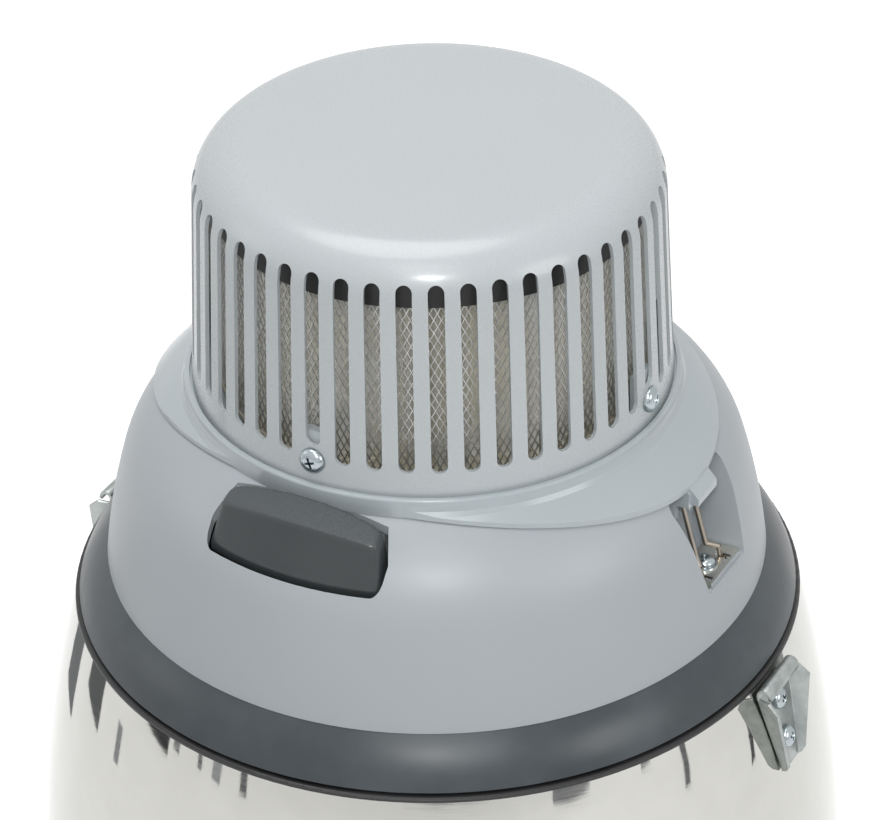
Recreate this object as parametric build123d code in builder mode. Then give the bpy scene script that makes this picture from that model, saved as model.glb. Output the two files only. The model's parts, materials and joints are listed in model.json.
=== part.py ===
from build123d import *
import os
from math import asin, atan, cos, degrees, pi, radians, sin, sqrt

os.makedirs("parts", exist_ok=True)

# Dry canister vacuum. Millimetres, +Z up, floor at Z = 0, axis of the vacuum on Z.
# The foot pedal and the suction inlet face -Y. Clips and catches lie on the X axis.

# ================================================================ driving dimensions
# heights
container_bottom_z = 55.0
rim_z = 300.0            # container rim
lip_t = 1.8              # filter ring between rim and head
head_ring_h = 18.2       # rubber band under the housing
housing_h = 77.0         # housing edge up to the cage seat
cage_h = 96.0
# container
rim_r = 139.9
belly_r = 160.8
belly_z = 150.0
sheet_t = 1.5
mouth_lip = 8.9          # container lip, in from the rim to its mouth
bottom_corner_r = 12.0
bumper_reach = 14.917    # out from the container's wall
bumper_low, bumper_high = 58.0, 84.0
# castors
castor_count = 4
castor_ring_r = 118.0
castor_trail = 14.0
wheel_r = 18.0
wheel_w = 16.0
# suction inlet
inlet_z = 185.0
inlet_bore_r = 19.0
inlet_wall = 2.5
inlet_length = 40.0
inlet_flange_r = 38.0
inlet_nose = 8.817       # nozzle's end, out from the back of its flange
# motor head
head_ring_r = 138.2
housing_r = 126.3
housing_t = 3.0
outlet_r = 50.0          # opening in the top of the housing
pan_r = 84.0
pan_edge = 6.3           # pan flange, in from the housing's edge
pan_bottom_z = 258.0
# clips that hold the collar
pocket_in = 26.3         # back wall of each recess, in from the housing's edge
pocket_low_half = 15.0
pocket_high_half = 20.5
pocket_rise = 32.3       # from the recess floor to where it is that wide
clip_floor_drop = 57.3   # recess floor below the cage seat
wire_r = 1.0
# foot pedal
well_half = 36.0
well_in = 12.2           # in from the housing's edge to the well's front
pedal_ridge_in = 9.1     # and from there to the pedal's ridge
pedal_ridge_drop = 8.0
pedal_slope = 26.0       # degrees, top face rising to the back
# collar and exhaust cage
collar_set = 33.3        # collar, in from the housing's edge
flange_in = 16.3         # long ends of its oval flange, in from there
flange_under = 2.0       # short ends, in from the collar's wall
flange_t = 1.6
cage_step = 3.0          # in from the collar to the cage
cage_taper = 3.6         # and on to the cage's top
cage_corner_r = 19.0
cage_t = 1.5
slot_count = 48
slot_w = 5.8
slot_low = 10.4          # above the cage seat
slot_high = 85.3
# filter cartridge
cartridge_in = 11.0      # in from the cage
pleat_count = 90
rod_r = 4.0
# main filter
bag_in = 6.0             # in from the container's mouth
bag_bottom_r = 103.0
bag_bottom_z = 124.0
bag_t = 2.0

# clearances
gap = 0.3                # between pieces that only lie side by side
run = 0.05               # radial, what turns or slides in a hole
snug = 0.02              # radial, what is fixed in a hole

# ================================================================ derived values
lip_z = rim_z + lip_t
ring_z = lip_z + gap
ring_top_z = ring_z + head_ring_h
housing_z = ring_top_z + gap
seat_z = housing_z + housing_h
top_z = seat_z + cage_h
mouth_r = rim_r - mouth_lip
bag_r = mouth_r - bag_in
pan_flange_r = housing_r - pan_edge
pocket_x = housing_r - pocket_in
flange_long = housing_r - flange_in
well_front_r = housing_r - well_in
pedal_ridge_r = well_front_r - pedal_ridge_in
collar_r = housing_r - collar_set
flange_short = collar_r - flange_under
cage_r = collar_r - cage_step
cage_top_r = cage_r - cage_taper
cartridge_r = cage_r - cartridge_in

# the container wall is one arc, widest at belly_z
barrel_arc = ((rim_z - belly_z) ** 2 + (belly_r - rim_r) ** 2) / (2 * (belly_r - rim_r))


def barrel(z, inset=0.0):
    """Radius of the container wall at height z, less an inset."""
    return belly_r - barrel_arc + sqrt(barrel_arc**2 - (z - belly_z) ** 2) - inset


def barrel_body(low, high, inset=0.0, corner=0.0):
    """Solid under the container's wall between two heights, with a rounded foot."""
    middle = (low + high) / 2
    with BuildPart() as body:
        with BuildSketch(Plane.XZ):
            with BuildLine():
                ThreePointArc(
                    (barrel(low, inset), low),
                    (barrel(middle, inset), middle),
                    (barrel(high, inset), high),
                )
                Polyline(
                    (barrel(high, inset), high), (0, high), (0, low), (barrel(low, inset), low)
                )
            make_face()
        revolve(axis=Axis.Z)
        if corner:
            fillet(body.edges().filter_by(GeomType.CIRCLE).sort_by(Axis.Z)[0], corner)
    return body.part


bumper_r = barrel((bumper_low + bumper_high) / 2) + bumper_reach

# dome of the housing: side wall, round shoulder, flat crown
wall_mid = (housing_r - 3.6, 21.5)
shoulder = (housing_r - 8.0, 39.0)
shoulder_lean = 15.0     # degrees, side wall's lean at the shoulder
crown = (housing_r - 38.3, housing_h - 4.5)


def dome_body(inset=0.0, low=0.0):
    """Solid under the housing's outer skin, less an inset."""
    lean = radians(shoulder_lean)
    z = housing_z
    edge = (housing_r - inset, z + low)
    middle = (wall_mid[0] - inset, z + wall_mid[1])
    top = (shoulder[0] - inset * cos(lean), z + shoulder[1] - inset * sin(lean))
    crest = (crown[0] - inset * sin(lean), z + crown[1] - inset)
    with BuildPart() as body:
        with BuildSketch(Plane.XZ):
            with BuildLine():
                ThreePointArc(edge, middle, top)
                TangentArc(top, crest, tangent=(-sin(lean), cos(lean)))
                Polyline(crest, (0, crest[1]), (0, edge[1]), edge)
            make_face()
        revolve(axis=Axis.Z)
    return body.part


def ring(inner, outer, low, high):
    """Plain ring about the Z axis."""
    with BuildPart() as body:
        with BuildSketch(Plane.XY.offset(low)):
            Circle(outer)
            if inner:
                Circle(inner, mode=Mode.SUBTRACT)
        extrude(amount=high - low)
    return body.part


def turned(points):
    """Solid turned about the Z axis from a section of (radius, height) points."""
    with BuildPart() as body:
        with BuildSketch(Plane.XZ):
            with BuildLine():
                Polyline(*points, close=True)
            make_face()
        revolve(axis=Axis.Z)
    return body.part


def pan_screw(face, head_r, head_t, shank_r, length):
    """Pan-head screw on a plane: head on its outer side, shank going in."""
    with BuildPart() as body:
        with BuildSketch(face):
            Circle(head_r)
        extrude(amount=head_t)
        fillet(body.edges().filter_by(GeomType.CIRCLE).sort_by_distance(face.origin)[-1], head_t * 0.6)
        with BuildSketch(face):
            Circle(shank_r)
        extrude(amount=-length)
    return body.part


def outward(radius, z, turn=0.0, tilt=0.0):
    """Plane facing away from the Z axis, turned about it and tilted up, X level."""
    a, t = radians(turn), radians(tilt)
    return Plane(
        origin=(radius * cos(a), radius * sin(a), z),
        x_dir=(-sin(a), cos(a), 0),
        z_dir=(cos(a) * cos(t), sin(a) * cos(t), sin(t)),
    )


def save(part, name):
    part.label = name
    export_step(part, f"parts/{name}.step")


FRONT, RIGHT, REAR, LEFT = -90.0, 0.0, 90.0, 180.0
SIDES = (("right", RIGHT), ("left", LEFT))

# ================================================================ container
inlet_tube_r = inlet_bore_r + inlet_wall
inlet_back = barrel(inlet_z) + 1.5          # back of the inlet flange
inlet_flange_t = 4.0
inlet_rivet_ring = 31.0
rivet_r = 2.0
catch_z = 282.0
catch_tilt = degrees(asin((catch_z - belly_z) / barrel_arc))
catch_t = 1.5
catch_screw_rows = (8.0, -9.0)
catch_screw_r = 1.6
base_rivet_ring = 124.0
foot_r = barrel(container_bottom_z + bottom_corner_r) - bottom_corner_r

catch_faces = {name: outward(barrel(catch_z) + 0.1, catch_z, turn, catch_tilt) for name, turn in SIDES}

hollow = barrel_body(
    container_bottom_z + sheet_t, rim_z - sheet_t, sheet_t, bottom_corner_r - sheet_t
)
with BuildPart() as container:
    add(barrel_body(container_bottom_z, rim_z, 0, bottom_corner_r))
    add(hollow, mode=Mode.SUBTRACT)
    with BuildSketch(Plane.XY.offset(rim_z)):
        Circle(mouth_r)
    extrude(amount=-2 * sheet_t, mode=Mode.SUBTRACT)
    with BuildSketch(outward(inlet_back, inlet_z, FRONT)):
        Circle(inlet_tube_r + gap)
        with PolarLocations(inlet_rivet_ring, 4, start_angle=45):
            Circle(rivet_r + snug)
    extrude(amount=-inlet_length / 2, mode=Mode.SUBTRACT)
    for face in catch_faces.values():
        with BuildSketch(face):
            with Locations(*[(0, row) for row in catch_screw_rows]):
                Circle(catch_screw_r + snug)
        extrude(amount=-3 * sheet_t, mode=Mode.SUBTRACT)
    with BuildSketch(Plane.XY.offset(container_bottom_z)):
        with PolarLocations(base_rivet_ring, 4):
            Circle(rivet_r + snug)
    extrude(amount=2 * sheet_t, mode=Mode.SUBTRACT)
save(container.part, "container")

# ---- suction inlet: flange on a shaped gasket, riveted, with a side-blowing hood inside
inlet_mouth = inlet_back + inlet_nose
inlet_end = inlet_mouth - inlet_length
hood_wall = 2.0
hood_r = inlet_tube_r + gap + hood_wall
hood_end = inlet_end - 8.0
inlet_face = outward(inlet_back, inlet_z, FRONT)

with BuildPart() as inlet_fitting:
    with BuildSketch(inlet_face):
        Circle(inlet_flange_r)
    extrude(amount=inlet_flange_t)
    with BuildSketch(inlet_face):
        Circle(inlet_tube_r + 5)
    extrude(amount=inlet_mouth - inlet_back)
    fillet(inlet_fitting.edges().filter_by(GeomType.CIRCLE).group_by(Axis.Y)[0], 1.5)
    with BuildSketch(inlet_face):
        Circle(inlet_tube_r)
    extrude(amount=inlet_end - inlet_back)
    with BuildSketch(outward(inlet_mouth, inlet_z, FRONT)):
        Circle(inlet_bore_r)
    extrude(amount=-inlet_length, mode=Mode.SUBTRACT)
    with BuildSketch(inlet_face):
        with PolarLocations(inlet_rivet_ring, 4, start_angle=45):
            Circle(rivet_r + snug)
    extrude(amount=inlet_flange_t, mode=Mode.SUBTRACT)
save(inlet_fitting.part, "inlet_fitting")

with BuildPart() as inlet_gasket:
    with BuildSketch(inlet_face):
        Circle(inlet_flange_r)
        Circle(inlet_tube_r + gap, mode=Mode.SUBTRACT)
        with PolarLocations(inlet_rivet_ring, 4, start_angle=45):
            Circle(rivet_r + snug, mode=Mode.SUBTRACT)
    extrude(amount=-10)
    add(
        barrel_body(inlet_z - 1.5 * inlet_flange_r, inlet_z + 1.5 * inlet_flange_r, -snug),
        mode=Mode.SUBTRACT,
    )
save(inlet_gasket.part, "inlet_gasket")

rivet_corner = inlet_rivet_ring / sqrt(2)
rivet_inner = sqrt(barrel(inlet_z + rivet_corner + 4, sheet_t) ** 2 - (rivet_corner + 4) ** 2)
with BuildPart() as inlet_rivets:
    with BuildSketch(inlet_face.offset(inlet_flange_t)):
        with PolarLocations(inlet_rivet_ring, 4, start_angle=45):
            Circle(2 * rivet_r)
    extrude(amount=1.2)
    with BuildSketch(inlet_face.offset(inlet_flange_t)):
        with PolarLocations(inlet_rivet_ring, 4, start_angle=45):
            Circle(rivet_r)
    extrude(amount=rivet_inner - inlet_back - inlet_flange_t - 1)
    with BuildSketch(outward(rivet_inner, inlet_z, FRONT)):
        with PolarLocations(inlet_rivet_ring, 4, start_angle=45):
            Circle(1.7 * rivet_r)
    extrude(amount=-1.5)
save(inlet_rivets.part, "inlet_rivets")

with BuildPart() as inlet_hood:
    with BuildSketch(outward(hood_end, inlet_z, FRONT)):
        Circle(hood_r)
    extrude(amount=rivet_inner - hood_end - 4)
    with BuildSketch(outward(hood_end + hood_wall, inlet_z, FRONT)):
        Circle(inlet_tube_r + gap)
    extrude(amount=inlet_length, mode=Mode.SUBTRACT)
    with BuildSketch(outward(inlet_end - 0.5, inlet_z, FRONT)):
        with Locations((0, -hood_r / 2)):
            Rectangle(1.5 * hood_r, hood_r)
    extrude(amount=-(inlet_end - 0.5 - hood_end - hood_wall), mode=Mode.SUBTRACT)
save(inlet_hood.part, "inlet_hood")

# ---- catch brackets: folded sheet with splayed wings and a rolled top edge
catch_top, catch_foot = 16.0, -20.0
catch_top_half, catch_foot_half = 14.0, 8.5
wing_top, wing_foot = 10.5, 5.5
lip_reach = 7.5

face = catch_faces["right"]
wing_side = Plane(origin=face.origin, x_dir=face.z_dir, z_dir=-face.x_dir)
with BuildPart() as catch_blank:
    with BuildSketch(face):
        Polygon(
            (-catch_top_half, catch_top),
            (-catch_foot_half, catch_foot),
            (catch_foot_half, catch_foot),
            (catch_top_half, catch_top),
            align=None,
        )
    extrude(amount=wing_top)
    with BuildSketch(face.offset(catch_t)):
        Polygon(
            (-catch_top_half + catch_t, catch_top + 1),
            (-catch_foot_half + catch_t, catch_foot - 1),
            (catch_foot_half - catch_t, catch_foot - 1),
            (catch_top_half - catch_t, catch_top + 1),
            align=None,
        )
    extrude(amount=wing_top, mode=Mode.SUBTRACT)
    with BuildSketch(wing_side):
        Polygon(
            (wing_foot, catch_foot - 1),
            (wing_top, 0),
            (wing_top - 1.5, catch_top),
            (wing_top + 5, catch_top + 5),
            (wing_top + 5, catch_foot - 1),
            align=None,
        )
    extrude(amount=catch_top_half + 1, both=True, mode=Mode.SUBTRACT)
    with BuildSketch(wing_side):
        with BuildLine() as roll:
            rise = Line((catch_t / 2, catch_top - 2), (catch_t / 2, catch_top + 1))
            curl = TangentArc(rise @ 1, (lip_reach - 2, catch_top + 2.5), tangent=rise % 1)
            Line(curl @ 1, (lip_reach, catch_top + 1.2))
        trace(line_width=catch_t)
    extrude(amount=catch_top_half, both=True)
    with BuildSketch(face):
        with Locations(*[(0, row) for row in catch_screw_rows]):
            Circle(catch_screw_r + snug)
    extrude(amount=catch_t, mode=Mode.SUBTRACT)

for name, turn in SIDES:
    with BuildPart() as catch_bracket:
        add(catch_blank.part, rotation=(0, 0, turn))
    save(catch_bracket.part, f"catch_bracket_{name}")

with BuildPart() as catch_screws:
    for face in catch_faces.values():
        for row in catch_screw_rows:
            spot = Plane(
                origin=face.from_local_coords((0, row, catch_t)), x_dir=face.x_dir, z_dir=face.z_dir
            )
            add(pan_screw(spot, 3.4, 2.4, catch_screw_r, 8))
save(catch_screws.part, "catch_screws")

# ================================================================ base and castors
base_t = 8.0
base_z = container_bottom_z - base_t
socket_drop = 5.0
stem_r = 4.0
stem_top = container_bottom_z - 1.5
fork_top = base_z - socket_drop - gap
crown_t = 4.0
fork_wall = 3.0
axle_r = 2.5

with BuildPart() as castor_base:
    with BuildSketch(Plane.XY.offset(base_z)):
        Circle(foot_r - 1)
        Circle(castor_ring_r - 30, mode=Mode.SUBTRACT)
    extrude(amount=base_t)
    fillet(castor_base.edges().filter_by(GeomType.CIRCLE).group_by(Axis.Z)[0], 2)
    with BuildSketch(Plane.XY.offset(base_z - socket_drop)):
        with PolarLocations(castor_ring_r, castor_count, start_angle=45):
            Circle(stem_r + 7)
    extrude(amount=socket_drop + 1)
    with BuildSketch(Plane.XY.offset(base_z - socket_drop)):
        with PolarLocations(castor_ring_r, castor_count, start_angle=45):
            Circle(stem_r + run)
    extrude(amount=stem_top + 0.5 - base_z + socket_drop, mode=Mode.SUBTRACT)
    with BuildSketch(Plane.XY.offset(base_z)):
        with PolarLocations(base_rivet_ring, 4):
            Circle(rivet_r + snug)
    extrude(amount=base_t, mode=Mode.SUBTRACT)
save(castor_base.part, "castor_base")

with BuildPart() as base_rivets:
    with BuildSketch(Plane.XY.offset(base_z)):
        with PolarLocations(base_rivet_ring, 4):
            Circle(2 * rivet_r)
    extrude(amount=-1.5)
    with BuildSketch(Plane.XY.offset(base_z - 1)):
        with PolarLocations(base_rivet_ring, 4):
            Circle(rivet_r)
    extrude(amount=base_t + sheet_t + 1.5)
    with BuildSketch(Plane.XY.offset(container_bottom_z + sheet_t)):
        with PolarLocations(base_rivet_ring, 4):
            Circle(2 * rivet_r)
    extrude(amount=1.5)
save(base_rivets.part, "base_rivets")

with BuildPart() as bumper_ring:
    with BuildSketch(Plane.XZ):
        with BuildLine():
            Polyline(
                (bumper_r - 6, bumper_low),
                (foot_r + 5, bumper_low),
                (foot_r + 5, bumper_high),
                (bumper_r - 9, bumper_high),
            )
            ThreePointArc(
                (bumper_r - 9, bumper_high),
                (bumper_r, (bumper_low + bumper_high) / 2 - 2),
                (bumper_r - 6, bumper_low),
            )
        make_face()
    revolve(axis=Axis.Z)
    add(barrel_body(container_bottom_z, bumper_high + 5, -snug, bottom_corner_r), mode=Mode.SUBTRACT)
save(bumper_ring.part, "bumper_ring")

# one castor with its stem on the Z axis, wheel trailing to -X
axle_at = (-castor_trail, wheel_r)
with BuildPart() as fork_blank:
    with BuildSketch(Plane.XZ):
        with Locations(axle_at):
            Circle(6.5)
        with Locations((-1, fork_top - crown_t / 2)):
            Rectangle(2 * stem_r + 12, crown_t)
        make_hull()
    extrude(amount=wheel_w / 2 + 0.8 + fork_wall, both=True)
    with BuildSketch(Plane.XZ):
        with Locations((-castor_trail, (fork_top - crown_t) / 2)):
            Rectangle(4 * wheel_r, fork_top - crown_t)
    extrude(amount=wheel_w / 2 + 0.8, both=True, mode=Mode.SUBTRACT)
    fillet(fork_blank.edges().filter_by(Axis.X).group_by(Axis.Z)[-1], 2.5)
    with BuildSketch(Plane.XY.offset(fork_top - 1)):
        Circle(stem_r)
    extrude(amount=stem_top - fork_top + 1)
    with BuildSketch(Plane.XZ):
        with Locations(axle_at):
            Circle(axle_r + snug)
    extrude(amount=wheel_w, both=True, mode=Mode.SUBTRACT)

with BuildPart() as wheel_blank:
    with BuildSketch(Plane.XZ):
        with Locations(axle_at):
            Circle(wheel_r)
    extrude(amount=wheel_w / 2, both=True)
    fillet(wheel_blank.edges().filter_by(GeomType.CIRCLE), 3)
    with BuildSketch(Plane.XZ.offset(wheel_w / 2), Plane.XZ.offset(-wheel_w / 2)):
        with Locations(axle_at):
            Circle(wheel_r - 5)
            Circle(axle_r + 3, mode=Mode.SUBTRACT)
    extrude(amount=1.5, both=True, mode=Mode.SUBTRACT)
    with BuildSketch(Plane.XZ):
        with Locations(axle_at):
            Circle(axle_r + run)
    extrude(amount=wheel_w, both=True, mode=Mode.SUBTRACT)

axle_half = wheel_w / 2 + 0.8 + fork_wall
with BuildPart() as axle_blank:
    with BuildSketch(Plane.XZ):
        with Locations(axle_at):
            Circle(axle_r)
    extrude(amount=axle_half, both=True)
    with BuildSketch(Plane.XZ.offset(axle_half), Plane.XZ.offset(-axle_half - 1.2)):
        with Locations(axle_at):
            Circle(axle_r + 1.5)
    extrude(amount=1.2)

for n, spot in enumerate(PolarLocations(castor_ring_r, castor_count, start_angle=45), 1):
    for kind, blank in (("fork", fork_blank), ("wheel", wheel_blank), ("axle", axle_blank)):
        with BuildPart() as castor_part:
            with Locations(spot):
                add(blank.part)
        save(castor_part.part, f"castor_{n}_{kind}")

# ================================================================ main filter
skirt_out, skirt_in = mouth_r - gap, bag_r + gap
skirt_drop = 10.0
filter_bore = pan_flange_r - 8.0
bag_slope = (bag_r - bag_bottom_r) / (rim_z - bag_bottom_z)
basket_t = 2.0

with BuildPart() as filter_ring:
    add(ring(filter_bore, rim_r, rim_z, lip_z))
    fillet(filter_ring.edges().filter_by(GeomType.CIRCLE).sort_by(SortBy.RADIUS)[-1], 0.8)
    add(ring(skirt_in, skirt_out, rim_z - skirt_drop, rim_z + 0.5))
save(filter_ring.part, "filter_ring")


def bag_cup(inset, top, low):
    """Tapered cup solid inside the filter bag's outer face."""
    return turned(
        [
            (0, low),
            (bag_r - bag_slope * (rim_z - low) - inset, low),
            (bag_r - bag_slope * (rim_z - top) - inset, top),
            (0, top),
        ]
    )


with BuildPart() as filter_bag:
    add(bag_cup(0, rim_z - gap, bag_bottom_z))
    fillet(filter_bag.edges().filter_by(GeomType.CIRCLE).sort_by(Axis.Z)[0], 5)
    add(bag_cup(bag_t, rim_z + 1, bag_bottom_z + bag_t), mode=Mode.SUBTRACT)
save(filter_bag.part, "filter_bag")

basket_top = rim_z - gap
basket_low = bag_bottom_z + bag_t + gap
basket_in = bag_t + gap
with BuildPart() as filter_basket:
    add(bag_cup(basket_in, basket_top, basket_low))
    add(bag_cup(basket_in + basket_t, basket_top + 1, basket_low + basket_t), mode=Mode.SUBTRACT)
    for low, high in ((basket_low + 12, basket_low + 62), (basket_low + 70, basket_low + 120)):
        with BuildSketch(Plane.XZ.offset(bag_bottom_r / 2)):
            with Locations((0, (low + high) / 2)):
                Rectangle(40, high - low)
        window = extrude(amount=bag_r, mode=Mode.PRIVATE)
        with PolarLocations(0, 12):
            add(window, mode=Mode.SUBTRACT)
    with BuildSketch(Plane.XY.offset(basket_low)):
        with PolarLocations(58, 8):
            Circle(16)
    extrude(amount=basket_t, mode=Mode.SUBTRACT)
save(filter_basket.part, "filter_basket")

# ================================================================ motor head
# ---- rubber band between housing and container
ledge_z = ring_top_z - 4.3
with BuildPart() as head_ring:
    with BuildSketch(Plane.XZ):
        with BuildLine():
            Polyline(
                (head_ring_r, ring_z + 1),
                (head_ring_r - 1, ring_z),
                (filter_bore, ring_z),
                (filter_bore, ledge_z),
                (pan_flange_r + gap, ledge_z),
                (pan_flange_r + gap, ring_top_z),
                (housing_r - 0.3, ring_top_z),
            )
            ThreePointArc(
                (housing_r - 0.3, ring_top_z),
                ((housing_r + head_ring_r) / 2 + 1.2, (ring_z + ring_top_z) / 2 + 1.1),
                (head_ring_r, ring_z + 1),
            )
        make_face()
    revolve(axis=Axis.Z)
save(head_ring.part, "head_ring")

# ---- pan: closes the head from below and carries the motor
pan_t = 3.0
pan_screw_ring = pan_flange_r - 14.0
pan_screw_r = 2.0
pan_top_z = housing_z
pan_flange_z = ledge_z + 0.3

with BuildPart() as motor_pan:
    add(ring(0, pan_r, pan_bottom_z, pan_top_z))
    fillet(motor_pan.edges().filter_by(GeomType.CIRCLE).sort_by(Axis.Z)[0], 6)
    add(ring(pan_r - 1, pan_flange_r, pan_flange_z, pan_top_z))
    add(ring(0, pan_r - pan_t, pan_bottom_z + pan_t, pan_top_z + 1), mode=Mode.SUBTRACT)
    with BuildSketch(Plane.XY.offset(pan_bottom_z)):
        with PolarLocations(38, 12):
            SlotOverall(44, 8)
    extrude(amount=pan_t, mode=Mode.SUBTRACT)
    with BuildSketch(Plane.XY.offset(pan_flange_z)):
        with PolarLocations(pan_screw_ring, 4, start_angle=45):
            Circle(pan_screw_r + snug)
    extrude(amount=pan_top_z - pan_flange_z, mode=Mode.SUBTRACT)
save(motor_pan.part, "motor_pan")

with BuildPart() as pan_screws:
    for spot in PolarLocations(pan_screw_ring, 4, start_angle=45):
        under = Plane(
            origin=(spot.position.X, spot.position.Y, pan_flange_z), x_dir=(1, 0, 0), z_dir=(0, 0, -1)
        )
        add(pan_screw(under, 4.0, 2.6, pan_screw_r, 16))
save(pan_screws.part, "pan_screws")

# ---- motor stack, from the pan upwards
filter_low = pan_bottom_z + pan_t
filter_high = filter_low + 5
gasket_high = filter_high + gap + 5
fan_r = 76.0
fan_low = gasket_high
fan_high = fan_low + 45
motor_r = 50.0
motor_high = fan_high + 54
mount_high = motor_high + 4
sheet = 1.2
shaft_r = 4.0

with BuildPart() as motor_filter:
    add(ring(0, pan_r - pan_t - gap, filter_low, filter_high))
save(motor_filter.part, "motor_filter")

with BuildPart() as motor_gasket:
    add(ring(fan_r - 16, fan_r, filter_high + gap, gasket_high))
save(motor_gasket.part, "motor_gasket")

with BuildPart() as fan_casing:
    add(ring(0, fan_r, fan_low, fan_high))
    fillet(fan_casing.edges().filter_by(GeomType.CIRCLE), 4)
    fan_split = (fan_low + fan_high) / 2
    for low, high in ((fan_low + sheet, fan_split - sheet), (fan_split, fan_high - sheet)):
        add(ring(0, fan_r - sheet, low, high), mode=Mode.SUBTRACT)
    add(ring(0, 22, fan_low - 1, fan_split + 1), mode=Mode.SUBTRACT)
    add(ring(0, shaft_r + 3, fan_split, fan_high + 1), mode=Mode.SUBTRACT)
    with BuildSketch(Plane.XY.offset(fan_high)):
        with PolarLocations((fan_r + motor_r) / 2, 12):
            Circle(5)
    extrude(amount=-2 * sheet, mode=Mode.SUBTRACT)
save(fan_casing.part, "fan_casing")

with BuildPart() as motor_casing:
    add(ring(0, motor_r, fan_high, motor_high))
    fillet(motor_casing.edges().filter_by(GeomType.CIRCLE).sort_by(Axis.Z)[-1], 5)
    add(ring(0, motor_r - 2, fan_high + 2, motor_high - 2), mode=Mode.SUBTRACT)
    add(ring(0, 14, motor_high - 10, motor_high))
    add(ring(0, shaft_r + run, fan_high - 1, motor_high - 2), mode=Mode.SUBTRACT)
    with BuildSketch(Plane.XZ.offset(motor_r / 2)):
        with Locations((0, (fan_high + motor_high) / 2)):
            Rectangle(16, 30)
    motor_window = extrude(amount=motor_r, mode=Mode.PRIVATE)
    with PolarLocations(0, 6):
        add(motor_window, mode=Mode.SUBTRACT)
save(motor_casing.part, "motor_casing")

shaft_low = fan_low + 6
with BuildPart() as rotor_shaft:
    add(ring(0, shaft_r, shaft_low, motor_high - 3))
    chamfer(rotor_shaft.edges().filter_by(GeomType.CIRCLE), 0.6)
save(rotor_shaft.part, "rotor_shaft")

with BuildPart() as armature:
    add(ring(shaft_r + snug, 27, fan_high + 12, fan_high + 36))
    add(ring(shaft_r + snug, 12, fan_high + 6, fan_high + 41))
save(armature.part, "armature")

blade_h = 10.0
for name, low in (("lower", fan_low + 8), ("upper", fan_split + 6)):
    with BuildPart() as fan_wheel:
        add(ring(shaft_r + snug, fan_r - 12, low, low + 1))
        add(ring(shaft_r + snug, 9, low, low + blade_h))
        with BuildSketch(Plane.XY.offset(low + 1)):
            with BuildLine() as camber:
                ThreePointArc((23, 0), (44, -9), (fan_r - 13, -30))
            trace(line_width=1.2)
        blade = extrude(amount=blade_h - 1, mode=Mode.PRIVATE)
        with PolarLocations(0, 7):
            add(blade)
    save(fan_wheel.part, f"fan_wheel_{name}")

with BuildPart() as motor_mount:
    add(ring(motor_r - 9, motor_r + 2.5, motor_high, mount_high))
save(motor_mount.part, "motor_mount")

# ---- housing
clip_floor = seat_z - clip_floor_drop
pocket_lean = (pocket_high_half - pocket_low_half) / pocket_rise
pocket_wall = 3.0
pocket_floor_t = 6.0
pocket_top = seat_z - 17.0
pocket_corner = 6.0
clip_back, clip_front = pocket_x + 6.5, pocket_x + 20.7
clip_slot_back, clip_slot_front = pocket_x + 13.3, pocket_x + 19.5
rib_half, rib_t, rib_h = 12.0, 0.7, 1.9   # low rib that keeps the plate from turning
leg_relief = 2.8
lug_way_half = 11.0
boss_r = 5.0
hinge_y, hinge_z = 21.0 - pedal_ridge_r, seat_z - 22.0
pin_r = 2.0
ear_in, ear_out = 25.0, 28.0
gland_z = housing_z + 20.0
gland_r = 7.0
clip_screw_x = pocket_x + 13.0
clip_screw_r = 1.8
pivot_x, pivot_z = pocket_x + 16.3, clip_floor - wire_r - gap
leg_half = 8.0
journal_half = 12.5
groove_half = wire_r + gap
skirt_r = outlet_r + housing_t
skirt_low = mount_high + gap
skirt_lip = 6.0


def pocket(turn, high, widen=0.0, deepen=0.0, drop=0.0, corner=0.0):
    """Wedge-shaped recess beside the dome's wall, open outwards, as a tool."""
    low = clip_floor - drop
    low_half = pocket_low_half + widen
    high_half = low_half + pocket_lean * (high - clip_floor)
    with BuildPart() as body:
        with BuildSketch(outward(pocket_x - deepen, 0, turn)) as outline:
            Polygon(
                (-low_half, low), (low_half, low), (high_half, high), (-high_half, high), align=None
            )
            if corner:
                fillet(outline.vertices().sort_by(Axis.Y)[-2:], corner)
        extrude(amount=housing_r)
    return body.part


def lug_way(turn):
    """Narrow way above a recess for the collar's lug, as a tool."""
    with BuildPart() as body:
        with BuildSketch(outward(pocket_x, (pocket_top + seat_z) / 2 - 3, turn)):
            Rectangle(2 * lug_way_half, seat_z - pocket_top + 6)
        extrude(amount=housing_r)
    return body.part


def well(inset, low, high):
    """Opening for the foot pedal, straight down through the dome, as a tool."""
    half = well_half - inset
    back, knee, ahead = -flange_short, -flange_short - 10, -well_front_r - 5
    with BuildPart() as body:
        with BuildSketch(Plane.XY.offset(low)) as outline:
            Polygon(
                (half - 5, back), (half, knee), (half, ahead),
                (-half, ahead), (-half, knee), (5 - half, back),
                align=None,
            )
            Circle(well_front_r - inset, mode=Mode.INTERSECT)
            fillet(outline.vertices().sort_by(Axis.Y)[:2], 5)
        extrude(amount=high - low)
    return body.part


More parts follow.
